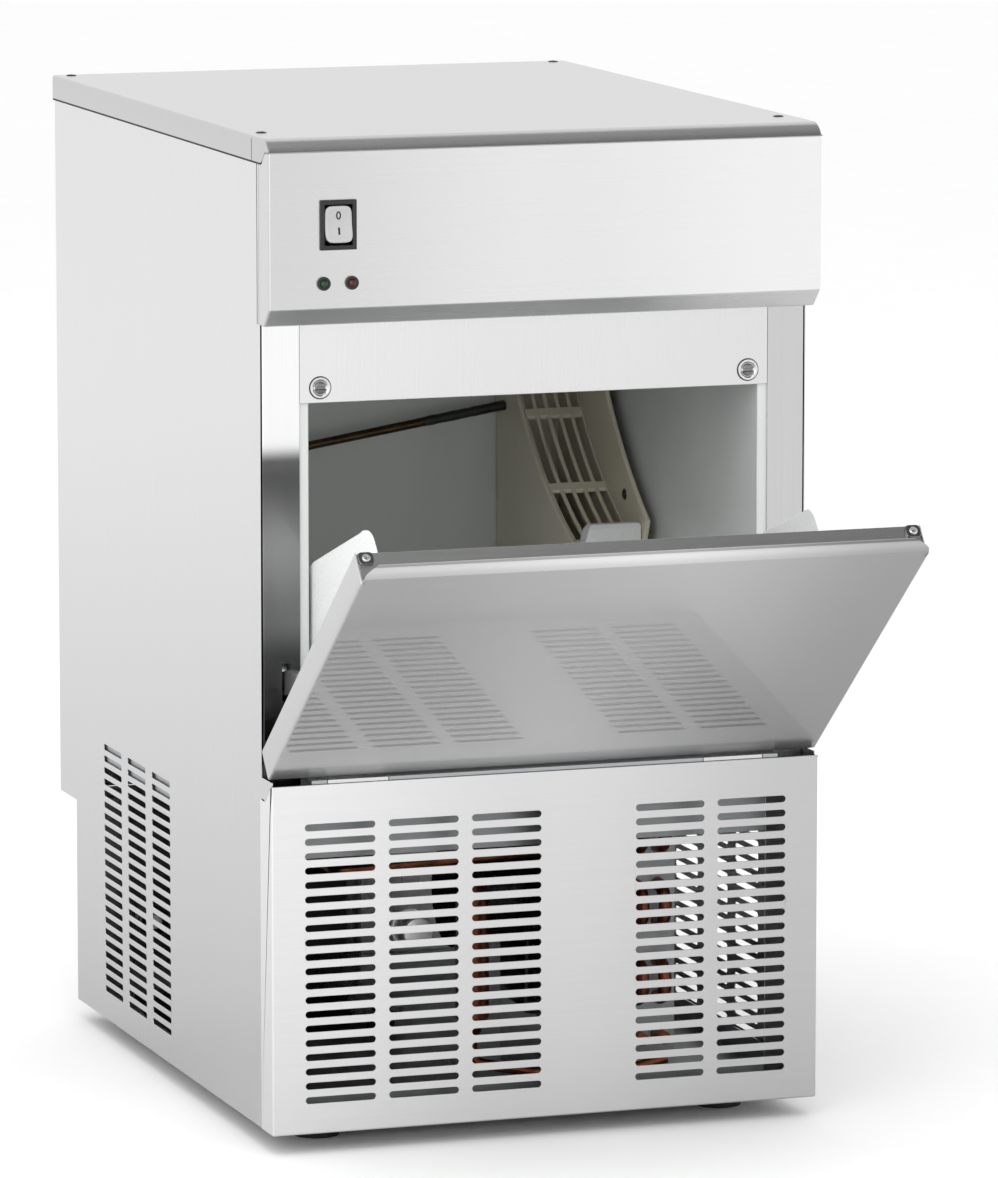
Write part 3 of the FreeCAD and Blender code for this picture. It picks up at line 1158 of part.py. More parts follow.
side_panel("left_side_panel", "-1", "vent_left_y", "vent_left_columns")
side_panel("right_side_panel", "1", "vent_right_y", "vent_right_columns")
rear_panel()
rear_lower_panel()
base_tray()
top_cover()
cover_screws()
control_panel()
switch()
signal_lamps()
jamb("left_jamb", "-1")
jamb("right_jamb", "1")
front_rail()
rail_fasteners()
lower_front_panel()
feet()
door_skin()
door_filling()
door_liner()
door_gussets()
door_stop_arms()
door_top_plate()
door_screws()
hinges()
bin_liner()
bin_insulation()
bin_ceiling()
ice_chute()
thermostat()
ice_making_head()
compartment_shelf()
condenser()
fan()
compressor()
refrigerant_lines()
water_and_power()
doc.recompute()

problems = []
for thing in doc.Objects:
    if "Invalid" in thing.State or "Error" in thing.State:
        problems.append(f"{thing.Label}: {thing.State}")
    if thing.TypeId == "PartDesign::Pocket":
        if thing.Shape.Volume > thing.BaseFeature.Shape.Volume - 0.01:
            problems.append(f"{thing.Label}: cuts nothing")
for thing in sub_parts:
    if thing.Shape.isNull() or not thing.Shape.isValid():
        problems.append(f"{thing.Label}: bad shape")
if problems:
    raise RuntimeError("\n".join(problems))

os.makedirs("parts", exist_ok=True)
for thing in sub_parts:
    thing.Shape.exportStep(f"parts/{thing.Label}.step")
whole = Part.makeCompound([thing.Shape for thing in sub_parts]).BoundBox
print(f"{len(sub_parts)} sub-parts, x {whole.XMin:.1f} {whole.XMax:.1f}, "
      f"y {whole.YMin:.1f} {whole.YMax:.1f}, z {whole.ZMin:.1f} {whole.ZMax:.1f}")
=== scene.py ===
"""A small under-counter ice maker with its bin door resting open.

Numbers given to door_point and cabinet_point, and the constants beside the functions that use
them, are in millimetres. Everything else is in metres. X runs to the right of someone facing the
machine, Y to the back and Z up from the floor.
"""
import json
import math

import bmesh
import bpy
import numpy as np
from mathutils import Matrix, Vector

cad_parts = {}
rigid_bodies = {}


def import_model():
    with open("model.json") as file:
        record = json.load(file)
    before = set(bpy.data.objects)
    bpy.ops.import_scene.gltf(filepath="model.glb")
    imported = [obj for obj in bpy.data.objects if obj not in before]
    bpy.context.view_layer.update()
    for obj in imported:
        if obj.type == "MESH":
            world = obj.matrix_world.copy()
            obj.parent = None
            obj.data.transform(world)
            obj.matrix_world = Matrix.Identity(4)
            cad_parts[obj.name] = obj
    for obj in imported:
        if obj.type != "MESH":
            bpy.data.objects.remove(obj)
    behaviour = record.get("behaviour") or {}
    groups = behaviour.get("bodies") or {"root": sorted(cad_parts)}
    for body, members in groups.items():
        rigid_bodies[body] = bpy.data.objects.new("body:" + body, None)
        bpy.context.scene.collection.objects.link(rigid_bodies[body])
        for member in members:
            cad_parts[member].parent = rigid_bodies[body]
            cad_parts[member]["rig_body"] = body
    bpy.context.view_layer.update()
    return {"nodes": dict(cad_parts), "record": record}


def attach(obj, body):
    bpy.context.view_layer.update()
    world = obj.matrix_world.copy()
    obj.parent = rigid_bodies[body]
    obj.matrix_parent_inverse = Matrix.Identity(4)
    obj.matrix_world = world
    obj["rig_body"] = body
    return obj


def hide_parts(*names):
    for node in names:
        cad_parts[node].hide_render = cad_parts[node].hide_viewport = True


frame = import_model()

MM = 0.001
FRONT_Y = -0.1397          # front face of the control panel
HINGE = (FRONT_Y + 6 * MM, 230 * MM)
DOOR_OPEN = math.radians(51.5)
SHEET = 0.8 * MM              # thickness of the folded sheet
TAU = 2 * math.pi


# ---- placing and building --------------------------------------------------------------------------

def linear(code):
    """An sRGB hex colour as linear red, green, blue and full opacity."""
    channels = np.array([int(code[i:i + 2], 16) for i in (1, 3, 5)]) / 255
    low, high = channels / 12.92, ((channels + 0.055) / 1.055) ** 2.4
    return (*np.where(channels <= 0.04045, low, high), 1.0)


def door_point(x, back, up):
    """Millimetres in the door's own directions, from its hinge line, as a place in the model."""
    turn, lean = math.cos(DOOR_OPEN), math.sin(DOOR_OPEN)
    back, up = np.asarray(back) * MM, np.asarray(up) * MM
    y = HINGE[0] + back * turn - up * lean
    z = HINGE[1] + back * lean + up * turn
    return np.stack(np.broadcast_arrays(np.asarray(x) * MM, y, z), axis=-1)


def cabinet_point(x, depth, height):
    """Millimetres right, behind the control panel's front and above the floor."""
    parts = np.broadcast_arrays(np.asarray(x) * MM, FRONT_Y + np.asarray(depth) * MM,
                                np.asarray(height) * MM)
    return np.stack(parts, axis=-1)


def grid_faces(rows, columns, wrap_columns=True, first=0):
    """Quads of a grid of rows x columns points, the last column joined to the first if wrapped."""
    index = first + np.arange(rows * columns).reshape(rows, columns)
    if wrap_columns:
        index = np.concatenate([index, index[:, :1]], axis=1)
    quads = np.stack([index[:-1, :-1], index[:-1, 1:], index[1:, 1:], index[1:, :-1]], axis=-1)
    return quads.reshape(-1, 4).tolist()


def finish_piece(name, points, faces, body, finish, slot, stands_for=(), smooth=True):
    """Put points and faces in a mesh, turn its faces outwards and let it ride on its body."""
    mesh = bpy.data.meshes.new(name)
    mesh.from_pydata(np.asarray(points).reshape(-1, 3).tolist(), [], faces)
    shape = bmesh.new()
    shape.from_mesh(mesh)
    bmesh.ops.remove_doubles(shape, verts=shape.verts, dist=1e-6)
    bmesh.ops.recalc_face_normals(shape, faces=shape.faces)
    shape.to_mesh(mesh)
    shape.free()
    mesh.polygons.foreach_set("use_smooth", [smooth] * len(mesh.polygons))
    if smooth:
        mesh.set_sharp_from_angle(angle=math.radians(38))
    piece = bpy.data.objects.new(name, mesh)
    bpy.context.scene.collection.objects.link(piece)
    mesh.materials.append(finish)
    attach(piece, body)
    for node in stands_for:
        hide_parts(node)
    return piece


def keep_flat(piece):
    """Flat faces keep their own direction, so a sheet mirrors straight lines straight."""
    even = piece.modifiers.new("Flat faces stay flat", "WEIGHTED_NORMAL")
    even.weight = 100
    even.keep_sharp = True


def axes_about(direction):
    """Two unit vectors square to a direction and to each other."""
    along = np.asarray(direction, float) / np.linalg.norm(direction)
    helper = np.array([0.0, 0.0, 1.0]) if abs(along[2]) < 0.9 else np.array([1.0, 0.0, 0.0])
    across = np.cross(helper, along)
    across /= np.linalg.norm(across)
    return across, np.cross(along, across), along


def turned(profile, centre, direction, steps=48):
    """Points and faces of a profile of (radius, height) pairs turned about a line.

    A point is centre + height * direction + radius * (cos a, sin a) in the plane square to it.
    """
    across, up, along = axes_about(direction)
    radius, height = np.asarray(profile, float).T[:, :, None]
    angle = np.linspace(0, TAU, steps, endpoint=False)[None, :]
    points = (np.asarray(centre) + (radius * np.cos(angle))[..., None] * across
              + (radius * np.sin(angle))[..., None] * up
              + (height * np.ones_like(angle))[..., None] * along)
    return points.reshape(-1, 3), grid_faces(len(profile), steps)


def screw_head(centre, direction, radius, height, arms, slot_width, spin=0.3, skirt=0.0):
    """A domed head: height falls off with the square of the radius, less a recess.

    The recess is one or two crossed slots: its depth is a smooth step of the distance to the
    nearest slot's middle line, and it fades out towards the head's rim where there are two.
    """
    across, up, along = axes_about(direction)
    ring = np.concatenate([np.linspace(0, 0.86, 40), np.linspace(0.89, 1, 7)])[:, None]
    angle = np.linspace(0, TAU, 96, endpoint=False)[None, :]
    x, y = radius * ring * np.cos(angle), radius * ring * np.sin(angle)
    dome = height * (1 - 0.42 * ring ** 2 - 0.58 * ring ** 12)
    distance = np.full(x.shape, 1.0)
    for number in range(arms):
        turn = spin + number * math.pi / 2
        distance = np.minimum(distance, np.abs(-x * math.sin(turn) + y * math.cos(turn)))
    step = np.clip((slot_width / 2 - distance) / (0.16 * slot_width) + 0.5, 0, 1)
    fade = 1.0 if arms == 1 else np.clip((0.68 - ring) / 0.16, 0, 1)
    lift = dome - 0.72 * height * step * fade * np.minimum(1, dome / (0.3 * height))
    base = np.full((1, angle.shape[1]), -skirt)
    x = np.concatenate([x, x[-1:], 0 * x[-1:]])
    y = np.concatenate([y, y[-1:], 0 * y[-1:]])
    lift = np.concatenate([lift, base, base])
    points = (np.asarray(centre) + x[..., None] * across + y[..., None] * up
              + lift[..., None] * along)
    return points.reshape(-1, 3), grid_faces(x.shape[0], x.shape[1])


def eased(node, finish, rim=0.22 * MM, bend=None, segments=3):
    """A CAD piece with its edges rolled.

    Its triangles are merged and joined where they are flat. An edge between two broad faces is a
    fold and is rolled to the bend's radius; any other sharp edge is a cut rim and gets the rim's.
    """
    source = frame["nodes"][node]
    bend = bend or rim
    shape = bmesh.new()
    shape.from_mesh(source.data)
    bmesh.ops.remove_doubles(shape, verts=shape.verts, dist=2e-6)
    bmesh.ops.dissolve_limit(shape, angle_limit=math.radians(0.4), verts=shape.verts,
                             edges=shape.edges)
    weights = shape.edges.layers.float.new("bevel_weight_edge")
    broad = 4 * MM
    for edge in shape.edges:
        if len(edge.link_faces) != 2 or edge.calc_face_angle(0) < math.radians(28):
            continue
        length = edge.calc_length()
        reach = min(face.calc_area() for face in edge.link_faces) / max(length, 1e-6)
        fold = reach > broad and length > 6 * MM and edge.is_convex
        edge[weights] = 1.0 if fold else rim / bend
    mesh = bpy.data.meshes.new(node + "_formed")
    shape.to_mesh(mesh)
    shape.free()
    mesh.polygons.foreach_set("use_smooth", [True] * len(mesh.polygons))
    mesh.materials.clear()
    mesh.materials.append(finish)
    piece = bpy.data.objects.new(node + "_formed", mesh)
    bpy.context.scene.collection.objects.link(piece)
    roll = piece.modifiers.new("Rolled edges", "BEVEL")
    roll.limit_method = "WEIGHT"
    roll.width = bend
    roll.segments = segments
    roll.use_clamp_overlap = False
    keep_flat(piece)
    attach(piece, source["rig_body"])
    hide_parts(node)
    return piece


# ---- materials -------------------------------------------------------------------------------------

def add_node(tree, kind, settings=None, sockets=None):
    """Add a node, set its settings, and set or link each of its sockets."""
    node = tree.nodes.new(kind)
    for key, setting in (settings or {}).items():
        setattr(node, key, setting)
    for key, source in (sockets or {}).items():
        if isinstance(source, bpy.types.NodeSocket):
            tree.links.new(source, node.inputs[key])
        else:
            node.inputs[key].default_value = source
    return node


def new_finish(name, **constants):
    """An empty material with its surface shader; constants are set on the shader's own sockets."""
    finish = bpy.data.materials.new(name)
    finish.use_nodes = True
    shader = finish.node_tree.nodes["Principled BSDF"]
    for key, setting in constants.items():
        shader.inputs[key.replace("_", " ")].default_value = setting
    return finish, finish.node_tree, shader


def metal_sheet(name, light, dark, roughness, grain, spread=0.04, groove=2e-6, streak_mm=1.1,
                streak_length_mm=90, tarnish=0.25, painted_shade_across=(1, 1, 1)):
    """Rolled and brushed sheet: long fine streaks along the grain over slow soft clouds.

    The last argument gives the colour's share at the machine's left side, middle and right side: a
    painted shade across the sheet, standing in for how light falls on it.

    The streaks change the colour, the roughness and the bump a little; the clouds only the first
    two, as handling and rolling do.
    """
    finish, tree, shader = new_finish(name, Metallic=1.0)
    place = add_node(tree, "ShaderNodeTexCoord")
    scale = [1000 / streak_mm] * 3
    scale["XYZ".index(grain)] = 1000 / streak_length_mm
    stretch = add_node(tree, "ShaderNodeMapping", sockets={"Vector": place.outputs["Object"],
                                                           "Scale": scale})
    streaks = add_node(tree, "ShaderNodeTexNoise", sockets={"Vector": stretch.outputs["Vector"],
                                                            "Scale": 1.0, "Detail": 2.0})
    clouds = add_node(tree, "ShaderNodeTexNoise", sockets={"Vector": place.outputs["Object"],
                                                           "Scale": 6.0, "Detail": 3.0})
    share = add_node(tree, "ShaderNodeMix", {"data_type": "FLOAT"},
                     {0: tarnish, 2: streaks.outputs["Fac"], 3: clouds.outputs["Fac"]})
    ease = add_node(tree, "ShaderNodeMapRange", sockets={"Value": share.outputs[0],
                                                         "From Min": 0.3, "From Max": 0.7})
    tint = add_node(tree, "ShaderNodeMix", {"data_type": "RGBA"},
                    {0: ease.outputs["Result"], 6: linear(dark), 7: linear(light)})
    # Painted shade across the machine: the colour is multiplied by a ramp over X.
    across = add_node(tree, "ShaderNodeSeparateXYZ", sockets={0: place.outputs["Object"]})
    fade = add_node(tree, "ShaderNodeMapRange",
                    sockets={"Value": across.outputs["X"], "From Min": -0.17, "From Max": 0.17})
    shade = add_node(tree, "ShaderNodeValToRGB", sockets={0: fade.outputs["Result"]})
    shade.color_ramp.elements.new(0.5)
    shade.color_ramp.interpolation = "EASE"
    for stop, value in zip(shade.color_ramp.elements, painted_shade_across):
        stop.color = (value, value, value, 1)
    toned = add_node(tree, "ShaderNodeMix", {"data_type": "RGBA", "blend_type": "MULTIPLY"},
                     {0: 1.0, 6: tint.outputs[2], 7: shade.outputs["Color"]})
    tree.links.new(toned.outputs[2], shader.inputs["Base Color"])
    gloss = add_node(tree, "ShaderNodeMapRange",
                     sockets={"Value": share.outputs[0], "From Min": 0.3, "From Max": 0.7,
                              "To Min": roughness - spread, "To Max": roughness + spread})
    tree.links.new(gloss.outputs["Result"], shader.inputs["Roughness"])
    bump = add_node(tree, "ShaderNodeBump", sockets={"Strength": 1.0, "Distance": groove,
                                                     "Height": streaks.outputs["Fac"]})
    tree.links.new(bump.outputs["Normal"], shader.inputs["Normal"])
    return finish


def moulded(name, light, dark, roughness, grit_mm, ior=1.5, lump=6e-6, spread=0.05, **constants):
    """Moulded or cast stuff: a fine grit in the surface and a slow change of shade."""
    finish, tree, shader = new_finish(name, IOR=ior, **constants)
    place = add_node(tree, "ShaderNodeTexCoord")
    grit = add_node(tree, "ShaderNodeTexNoise", sockets={"Vector": place.outputs["Object"],
                                                         "Scale": 1000 / grit_mm, "Detail": 3.0})
    clouds = add_node(tree, "ShaderNodeTexNoise", sockets={"Vector": place.outputs["Object"],
                                                           "Scale": 14.0, "Detail": 4.0})
    ease = add_node(tree, "ShaderNodeMapRange", sockets={"Value": clouds.outputs["Fac"],
                                                         "From Min": 0.35, "From Max": 0.65})
    tint = add_node(tree, "ShaderNodeMix", {"data_type": "RGBA"},
                    {0: ease.outputs["Result"], 6: linear(dark), 7: linear(light)})
    tree.links.new(tint.outputs[2], shader.inputs["Base Color"])
    gloss = add_node(tree, "ShaderNodeMapRange",
                     sockets={"Value": grit.outputs["Fac"], "From Min": 0.35, "From Max": 0.65,
                              "To Min": roughness - spread, "To Max": roughness + spread})
    tree.links.new(gloss.outputs["Result"], shader.inputs["Roughness"])
    bump = add_node(tree, "ShaderNodeBump", sockets={"Strength": 1.0, "Distance": lump,
                                                     "Height": grit.outputs["Fac"]})
    tree.links.new(bump.outputs["Normal"], shader.inputs["Normal"])
    return finish


# The brushing of real sheet is 0.05 to 0.2 mm apart, too fine to show, so it is drawn about 1 mm.
# Brushed steel, grain upright: soft, bright and nearly even, with faint upright streaks.
# Painted shade across: a little lighter at the machine's left, a little darker at its right.
steel_upright = metal_sheet("brushed_stainless_upright", "#e8e8e8", "#e6e6e6", 0.28, "Z",
                            spread=0.01, groove=1e-7, streak_mm=0.8, streak_length_mm=140,
                            painted_shade_across=(1.03, 0.98, 0.93))
# The same sheet with its grain across, on the control panel and the door's ends.
# Painted shade across: darker at the machine's left, lighter at its right.
steel_across = metal_sheet("brushed_stainless_across", "#ececec", "#eaeaea", 0.28, "X",
                           spread=0.01, groove=1e-7, streak_mm=0.8, streak_length_mm=140,
                           painted_shade_across=(0.8, 0.95, 1.05))
# The lid's sheet, one shade darker, grain across.
steel_lid = metal_sheet("brushed_stainless_lid", "#c5c5c5", "#c2c2c2", 0.26, "X", spread=0.015,
                        groove=1e-7, streak_mm=0.8, streak_length_mm=140)
# The lower panel is rougher, so it scatters light widely and mirrors nothing clearly.
# Painted shade across: lighter at the machine's left, darker at its right.
steel_punched = metal_sheet("punched_stainless_panel", "#eaeaea", "#e7e7e7", 0.42, "X",
                            spread=0.01, groove=1e-7, streak_mm=0.8, streak_length_mm=140,
                            painted_shade_across=(1.15, 0.97, 0.78))
# Polished screws and washers: neutral, with sharp bright and dark bands.
steel_screw = metal_sheet("polished_stainless_screw", "#e8e8e8", "#dcdcdc", 0.14, "X",
                          streak_mm=1.0, streak_length_mm=3, groove=2e-7, spread=0.03)
# The side sheets are a duller roll of the same steel.
steel_side = metal_sheet("dull_rolled_stainless", "#e0e0e0", "#dddddd", 0.26, "Z", spread=0.015,
                         groove=1e-7, streak_mm=0.8, streak_length_mm=140)
# The door's sheet scatters widely. Its tone across is a painted reflection and shade: lighter in the
# middle, darker towards both ends and most to the right.
steel_door = metal_sheet("bright_rolled_stainless", "#e4e4e4", "#e1e1e1", 0.36, "X", spread=0.01,
                         groove=6e-8, tarnish=0.6, painted_shade_across=(0.66, 0.93, 0.42))
# Coarser brushing on the front frame shows as faint upright lines.
steel_jamb = metal_sheet("linished_stainless_frame", "#cecece", "#c7c7c7", 0.20, "Z", groove=2e-7,
                         streak_mm=0.8, streak_length_mm=160, tarnish=0.1, spread=0.02)
# It is three quarters metal under a clear coat, so the slots below show in it sharply but weakly.
door_shader = steel_door.node_tree.nodes["Principled BSDF"]
door_shader.inputs["Metallic"].default_value = 0.75
door_shader.inputs["Coat Weight"].default_value = 1.0
door_shader.inputs["Coat Roughness"].default_value = 0.02
door_shader.inputs["Coat IOR"].default_value = 2.5
# Top plate of the door: plain steel, a little darker.
steel_plate = metal_sheet("handled_stainless_plate", "#d2d2d2", "#cacaca", 0.24, "X", spread=0.02,
                          groove=1e-7)
# Slotted rail screws and the door's corner pads: a darker steel than the washers.
steel_slotted = metal_sheet("dark_polished_screw", "#8e8e8e", "#7c7c7c", 0.16, "X", streak_mm=1.0,
                            streak_length_mm=3, groove=1e-7, spread=0.03)
# The left jamb's colour is a painted reflection set by its height: bright near the rail, dark
# beside the door. Its gloss doesn't change.
steel_jamb_left = metal_sheet("stainless_jamb_painted_reflection", "#fafafa", "#f4f4f4", 0.20, "Z",
                              groove=2e-7, streak_mm=0.8, streak_length_mm=160, tarnish=0.1,
                              spread=0.02)
jamb_tree = steel_jamb_left.node_tree
jamb_shader = jamb_tree.nodes["Principled BSDF"]
jamb_place = add_node(jamb_tree, "ShaderNodeTexCoord")
jamb_split = add_node(jamb_tree, "ShaderNodeSeparateXYZ", sockets={0: jamb_place.outputs["Object"]})
jamb_height = add_node(jamb_tree, "ShaderNodeMapRange",
                       sockets={"Value": jamb_split.outputs["Z"], "From Min": 0.28,
                                "From Max": 0.42})
jamb_shade = add_node(jamb_tree, "ShaderNodeValToRGB", sockets={0: jamb_height.outputs["Result"]})
jamb_ramp = jamb_shade.color_ramp
jamb_ramp.interpolation = "EASE"
for place, share in ((0.07, 0.07), (0.25, 0.18), (0.54, 0.28), (0.84, 0.12), (0.90, 0.14),
                     (0.985, 0.98)):
    stop = jamb_ramp.elements.new(place)
    stop.color = (share, share, share, 1)
jamb_ramp.elements[0].color = (0.06, 0.06, 0.06, 1)
jamb_tint = jamb_shader.inputs["Base Color"].links[0].from_socket
jamb_mix = add_node(jamb_tree, "ShaderNodeMix", {"data_type": "RGBA", "blend_type": "MULTIPLY"},
                    {0: 1.0, 6: jamb_tint, 7: jamb_shade.outputs["Color"]})
jamb_tree.links.new(jamb_mix.outputs[2], jamb_shader.inputs["Base Color"])
# Hot-dipped galvanised sheet: dull, slightly blue grey with cloudy patches.
galvanised = metal_sheet("galvanised_sheet", "#c5c8ca", "#b4b7b9", 0.5, "X", spread=0.08,
                         streak_mm=6, streak_length_mm=9, tarnish=0.6)
# Vacuum-formed white polystyrene: even, faintly glossy, a little cool.
white_plastic = moulded("formed_white_polystyrene", "#edeeee", "#ebecec", 0.32, 1.4, ior=1.59,
                        lump=2e-7)
# The liner sheet is the same stuff, deep drawn and a shade greyer all over.
bin_plastic = moulded("deep_drawn_white_polystyrene", "#d5d8d6", "#cfd2d0", 0.34, 1.6, ior=1.59)
# Injection-moulded ABS in warm ivory: soft sheen on the slats.
beige_plastic = moulded("moulded_ivory_abs", "#d9d2c1", "#d0c8b5", 0.38, 1.2, ior=1.54)
# Rigid polyurethane foam: matt, pale straw, open pores of about 0.5 mm drawn at 1.5 mm.
foam = moulded("rigid_polyurethane_foam", "#d9d4c3", "#cbc5b2", 0.88, 1.5, lump=1.5e-4)
# Black ABS: satin, the edges catch a thin light.
black_plastic = moulded("moulded_black_abs", "#1b1b1c", "#141415", 0.36, 0.9, ior=1.54)
# Phosphated steel screws: dark, oily, a metal's sharp glints.
black_screw = moulded("phosphated_steel", "#2b2b2c", "#1c1c1d", 0.34, 0.8, Metallic=0.9)
# Polished ABS rocker: light grey with a clear highlight.
rocker_plastic = moulded("polished_grey_abs", "#b4b4b4", "#afafaf", 0.16, 1.2, ior=1.54, lump=1e-6)
# Polycarbonate lenses: deep colour seen through a glossy skin.
green_lens = moulded("green_polycarbonate_lens", "#0b4020", "#062a14", 0.12, 1.0, ior=1.58,
                     lump=1e-6, Transmission_Weight=0.25)
red_lens = moulded("red_polycarbonate_lens", "#520c0d", "#360808", 0.12, 1.0, ior=1.58, lump=1e-6,
                   Transmission_Weight=0.25)
# Drawn copper tube: warm, dulled by brown oxide in patches.
copper = metal_sheet("oxidised_drawn_copper", "#a9654a", "#5f3a2a", 0.34, "Y", streak_mm=5,
                     streak_length_mm=30, tarnish=0.6, spread=0.08)
# Tinned copper capillary: dark, brownish, semi-gloss.
dark_brass = metal_sheet("tinned_capillary_tube", "#5c4e3a", "#33291d", 0.24, "X", streak_mm=2,
                         streak_length_mm=8, tarnish=0.5)
# Rolled aluminium fins: thin, pale, bright along their edges.
aluminium = metal_sheet("rolled_aluminium_fin", "#d2d5d8", "#bfc3c6", 0.30, "Z", streak_mm=1.5)
# Stoved black enamel on the compressor: smooth, with an orange-peel ripple of about 2 mm.
black_paint = moulded("stoved_black_enamel", "#161718", "#0f1011", 0.28, 2.0, lump=2e-5)
# Grey ABS mouldings: plain and matt.
grey_plastic = moulded("moulded_grey_abs", "#85888a", "#7a7d7f", 0.45, 1.0, ior=1.54)
# Black rubber feet: matt and slightly dusty.
rubber = moulded("moulded_black_rubber", "#252525", "#1a1a1a", 0.72, 1.5, ior=1.52, lump=2e-5)
# Printing ink on the rocker: dark and matt.
ink = moulded("matt_black_ink", "#101010", "#0b0b0b", 0.6, 0.6, lump=1e-6)

SLOT_FINISH = {
    "satin_stainless": steel_upright, "galvanised_steel": galvanised, "white_plastic": white_plastic,
    "beige_plastic": beige_plastic, "foam": foam, "black_plastic": black_plastic,
    "black_screw": black_screw, "rocker_plastic": rocker_plastic, "green_lens": green_lens,
    "red_lens": red_lens, "copper": copper, "dark_brass": dark_brass, "aluminium_fin": aluminium,
    "black_paint": black_paint, "grey_plastic": grey_plastic, "rubber": rubber,
}
NODE_FINISH = {
    "top_cover": steel_lid, "control_panel": steel_across, "lower_front_panel": steel_punched,
    "left_side_panel": steel_side, "right_side_panel": steel_side, "chute_lip": white_plastic,
    "front_rail": steel_upright, "left_jamb": steel_jamb_left, "right_jamb": steel_jamb,
    "door_skin": steel_door, "door_top_plate": steel_plate, "bin_liner": bin_plastic,
    "bin_ceiling": bin_plastic, "door_screws": steel_screw, "rail_screws": steel_screw,
    "rail_screw_washers": steel_screw,
}

slot_of = {row["node"]: row["material_slot"] for row in frame["record"]["subparts"]}
for node_name, cad_object in frame["nodes"].items():
    cad_finish = NODE_FINISH.get(node_name, SLOT_FINISH[slot_of[node_name]])
    cad_object.data.materials.clear()
    cad_object.data.materials.append(cad_finish)


# ---- folded and moulded pieces with rolled edges ---------------------------------------------------

for node_name in ("left_side_panel", "right_side_panel", "control_panel",
                  "lower_front_panel", "left_jamb", "right_jamb", "front_rail", "rear_panel",
                  "rear_lower_panel"):
    eased(node_name, NODE_FINISH.get(node_name, SLOT_FINISH[slot_of[node_name]]),
          bend=1.3 * MM)
for node_name in ("bin_liner", "door_gussets", "door_liner", "ice_chute_housing"):
    eased(node_name, NODE_FINISH.get(node_name, SLOT_FINISH[slot_of[node_name]]),
          rim=0.9 * MM)
for node_name in ("chute_lip", "ice_chute_grille", "switch_bezel"):
    eased(node_name, NODE_FINISH.get(node_name, SLOT_FINISH[slot_of[node_name]]), rim=0.5 * MM)


# ---- door: skin with its curled grip lip ------------------------------------------------------------

DOOR_HALF = 170            # half the door's width, in mm
DOOR_FACE = -6             # the front sheet, in mm before the hinge line
DOOR_BACK = 14
DOOR_FOOT = -4.5
DOOR_TOP = 222
CREASE = 226.5             # where the face breaks into the lip's curve
LIP_TOP = 231
LIP_BACK = 0.2             # where the curve ends, in mm behind the hinge line
LIP_REACH = 0.8            # where the lip's flat tip ends
END_ROUND = 9              # how far in from each end the lip is rounded off
PAD_X = 164.2              # middle of the pads and screws at the door's upper corners
PAD_BACK = 9.8


def door_sheet():
    """Front sheet and lip as one surface: stations across by a profile up and over.

    The profile runs up the face to a crease, along the last 60 degrees of a quarter ellipse, then
    back along a short flat. In front view each end is rounded: at the share f of the height above
    the door's top line, the sheet ends at half width - 9 + 9 * root(1 - f^4). Past its end the
    surface drops straight down the door to its top line, which the corner pad and the top plate cover.
    """
    core = DOOR_HALF - 20
    reach = np.concatenate([np.linspace(0, 0.9, 4), np.linspace(0.93, 1, 5), [1, 1, 1, 1]])[None, :]
    swell = np.array([1] * 9 + [0.85, 0.5, 0, 0])[None, :]
    beyond = np.array([0] * 12 + [1])[None, :]
    turn = np.linspace(0, math.pi / 2, 7)
    first = math.radians(30)
    angle = np.linspace(first, math.pi / 2, 22)
    arc_back = LIP_BACK - (LIP_BACK - DOOR_FACE) * np.cos(angle) / math.cos(first)
    arc_up = CREASE + (LIP_TOP - CREASE) * (np.sin(angle) - 0.5) / 0.5
    rise_up = np.linspace(DOOR_TOP, CREASE - 0.15, 6)
    back = np.concatenate([[DOOR_BACK], DOOR_FACE + 1.3 * (1 - np.sin(turn)), [DOOR_FACE] * 2,
                           0 * rise_up + DOOR_FACE, arc_back, [LIP_REACH]])[:, None]
    up = np.concatenate([[DOOR_FOOT], DOOR_FOOT + 1.3 * (1 - np.cos(turn)),
                         [DOOR_FOOT + 2, DOOR_TOP - 1.2], rise_up, arc_up, [LIP_TOP]])[:, None]
    share = np.clip((up - DOOR_TOP) / (LIP_TOP - DOOR_TOP), 0, 1) ** 2
    end = DOOR_HALF - END_ROUND + END_ROUND * np.sqrt(1 - share ** 2)
    end = np.minimum(end, DOOR_HALF - 1.2)
    right = core + (end - core) * reach
    right = right + beyond * (DOOR_HALF - 0.9 - right)
    low = np.minimum(up, DOOR_TOP - 0.4)
    up = low + swell * (up - low)
    back = back + 0 * up
    x = np.concatenate([-right[:, ::-1], right], axis=1)
    back = np.concatenate([back[:, ::-1], back], axis=1)
    up = np.concatenate([up[:, ::-1], up], axis=1)
    return door_point(x, back, up).reshape(-1, 3), grid_faces(*x.shape, wrap_columns=False)


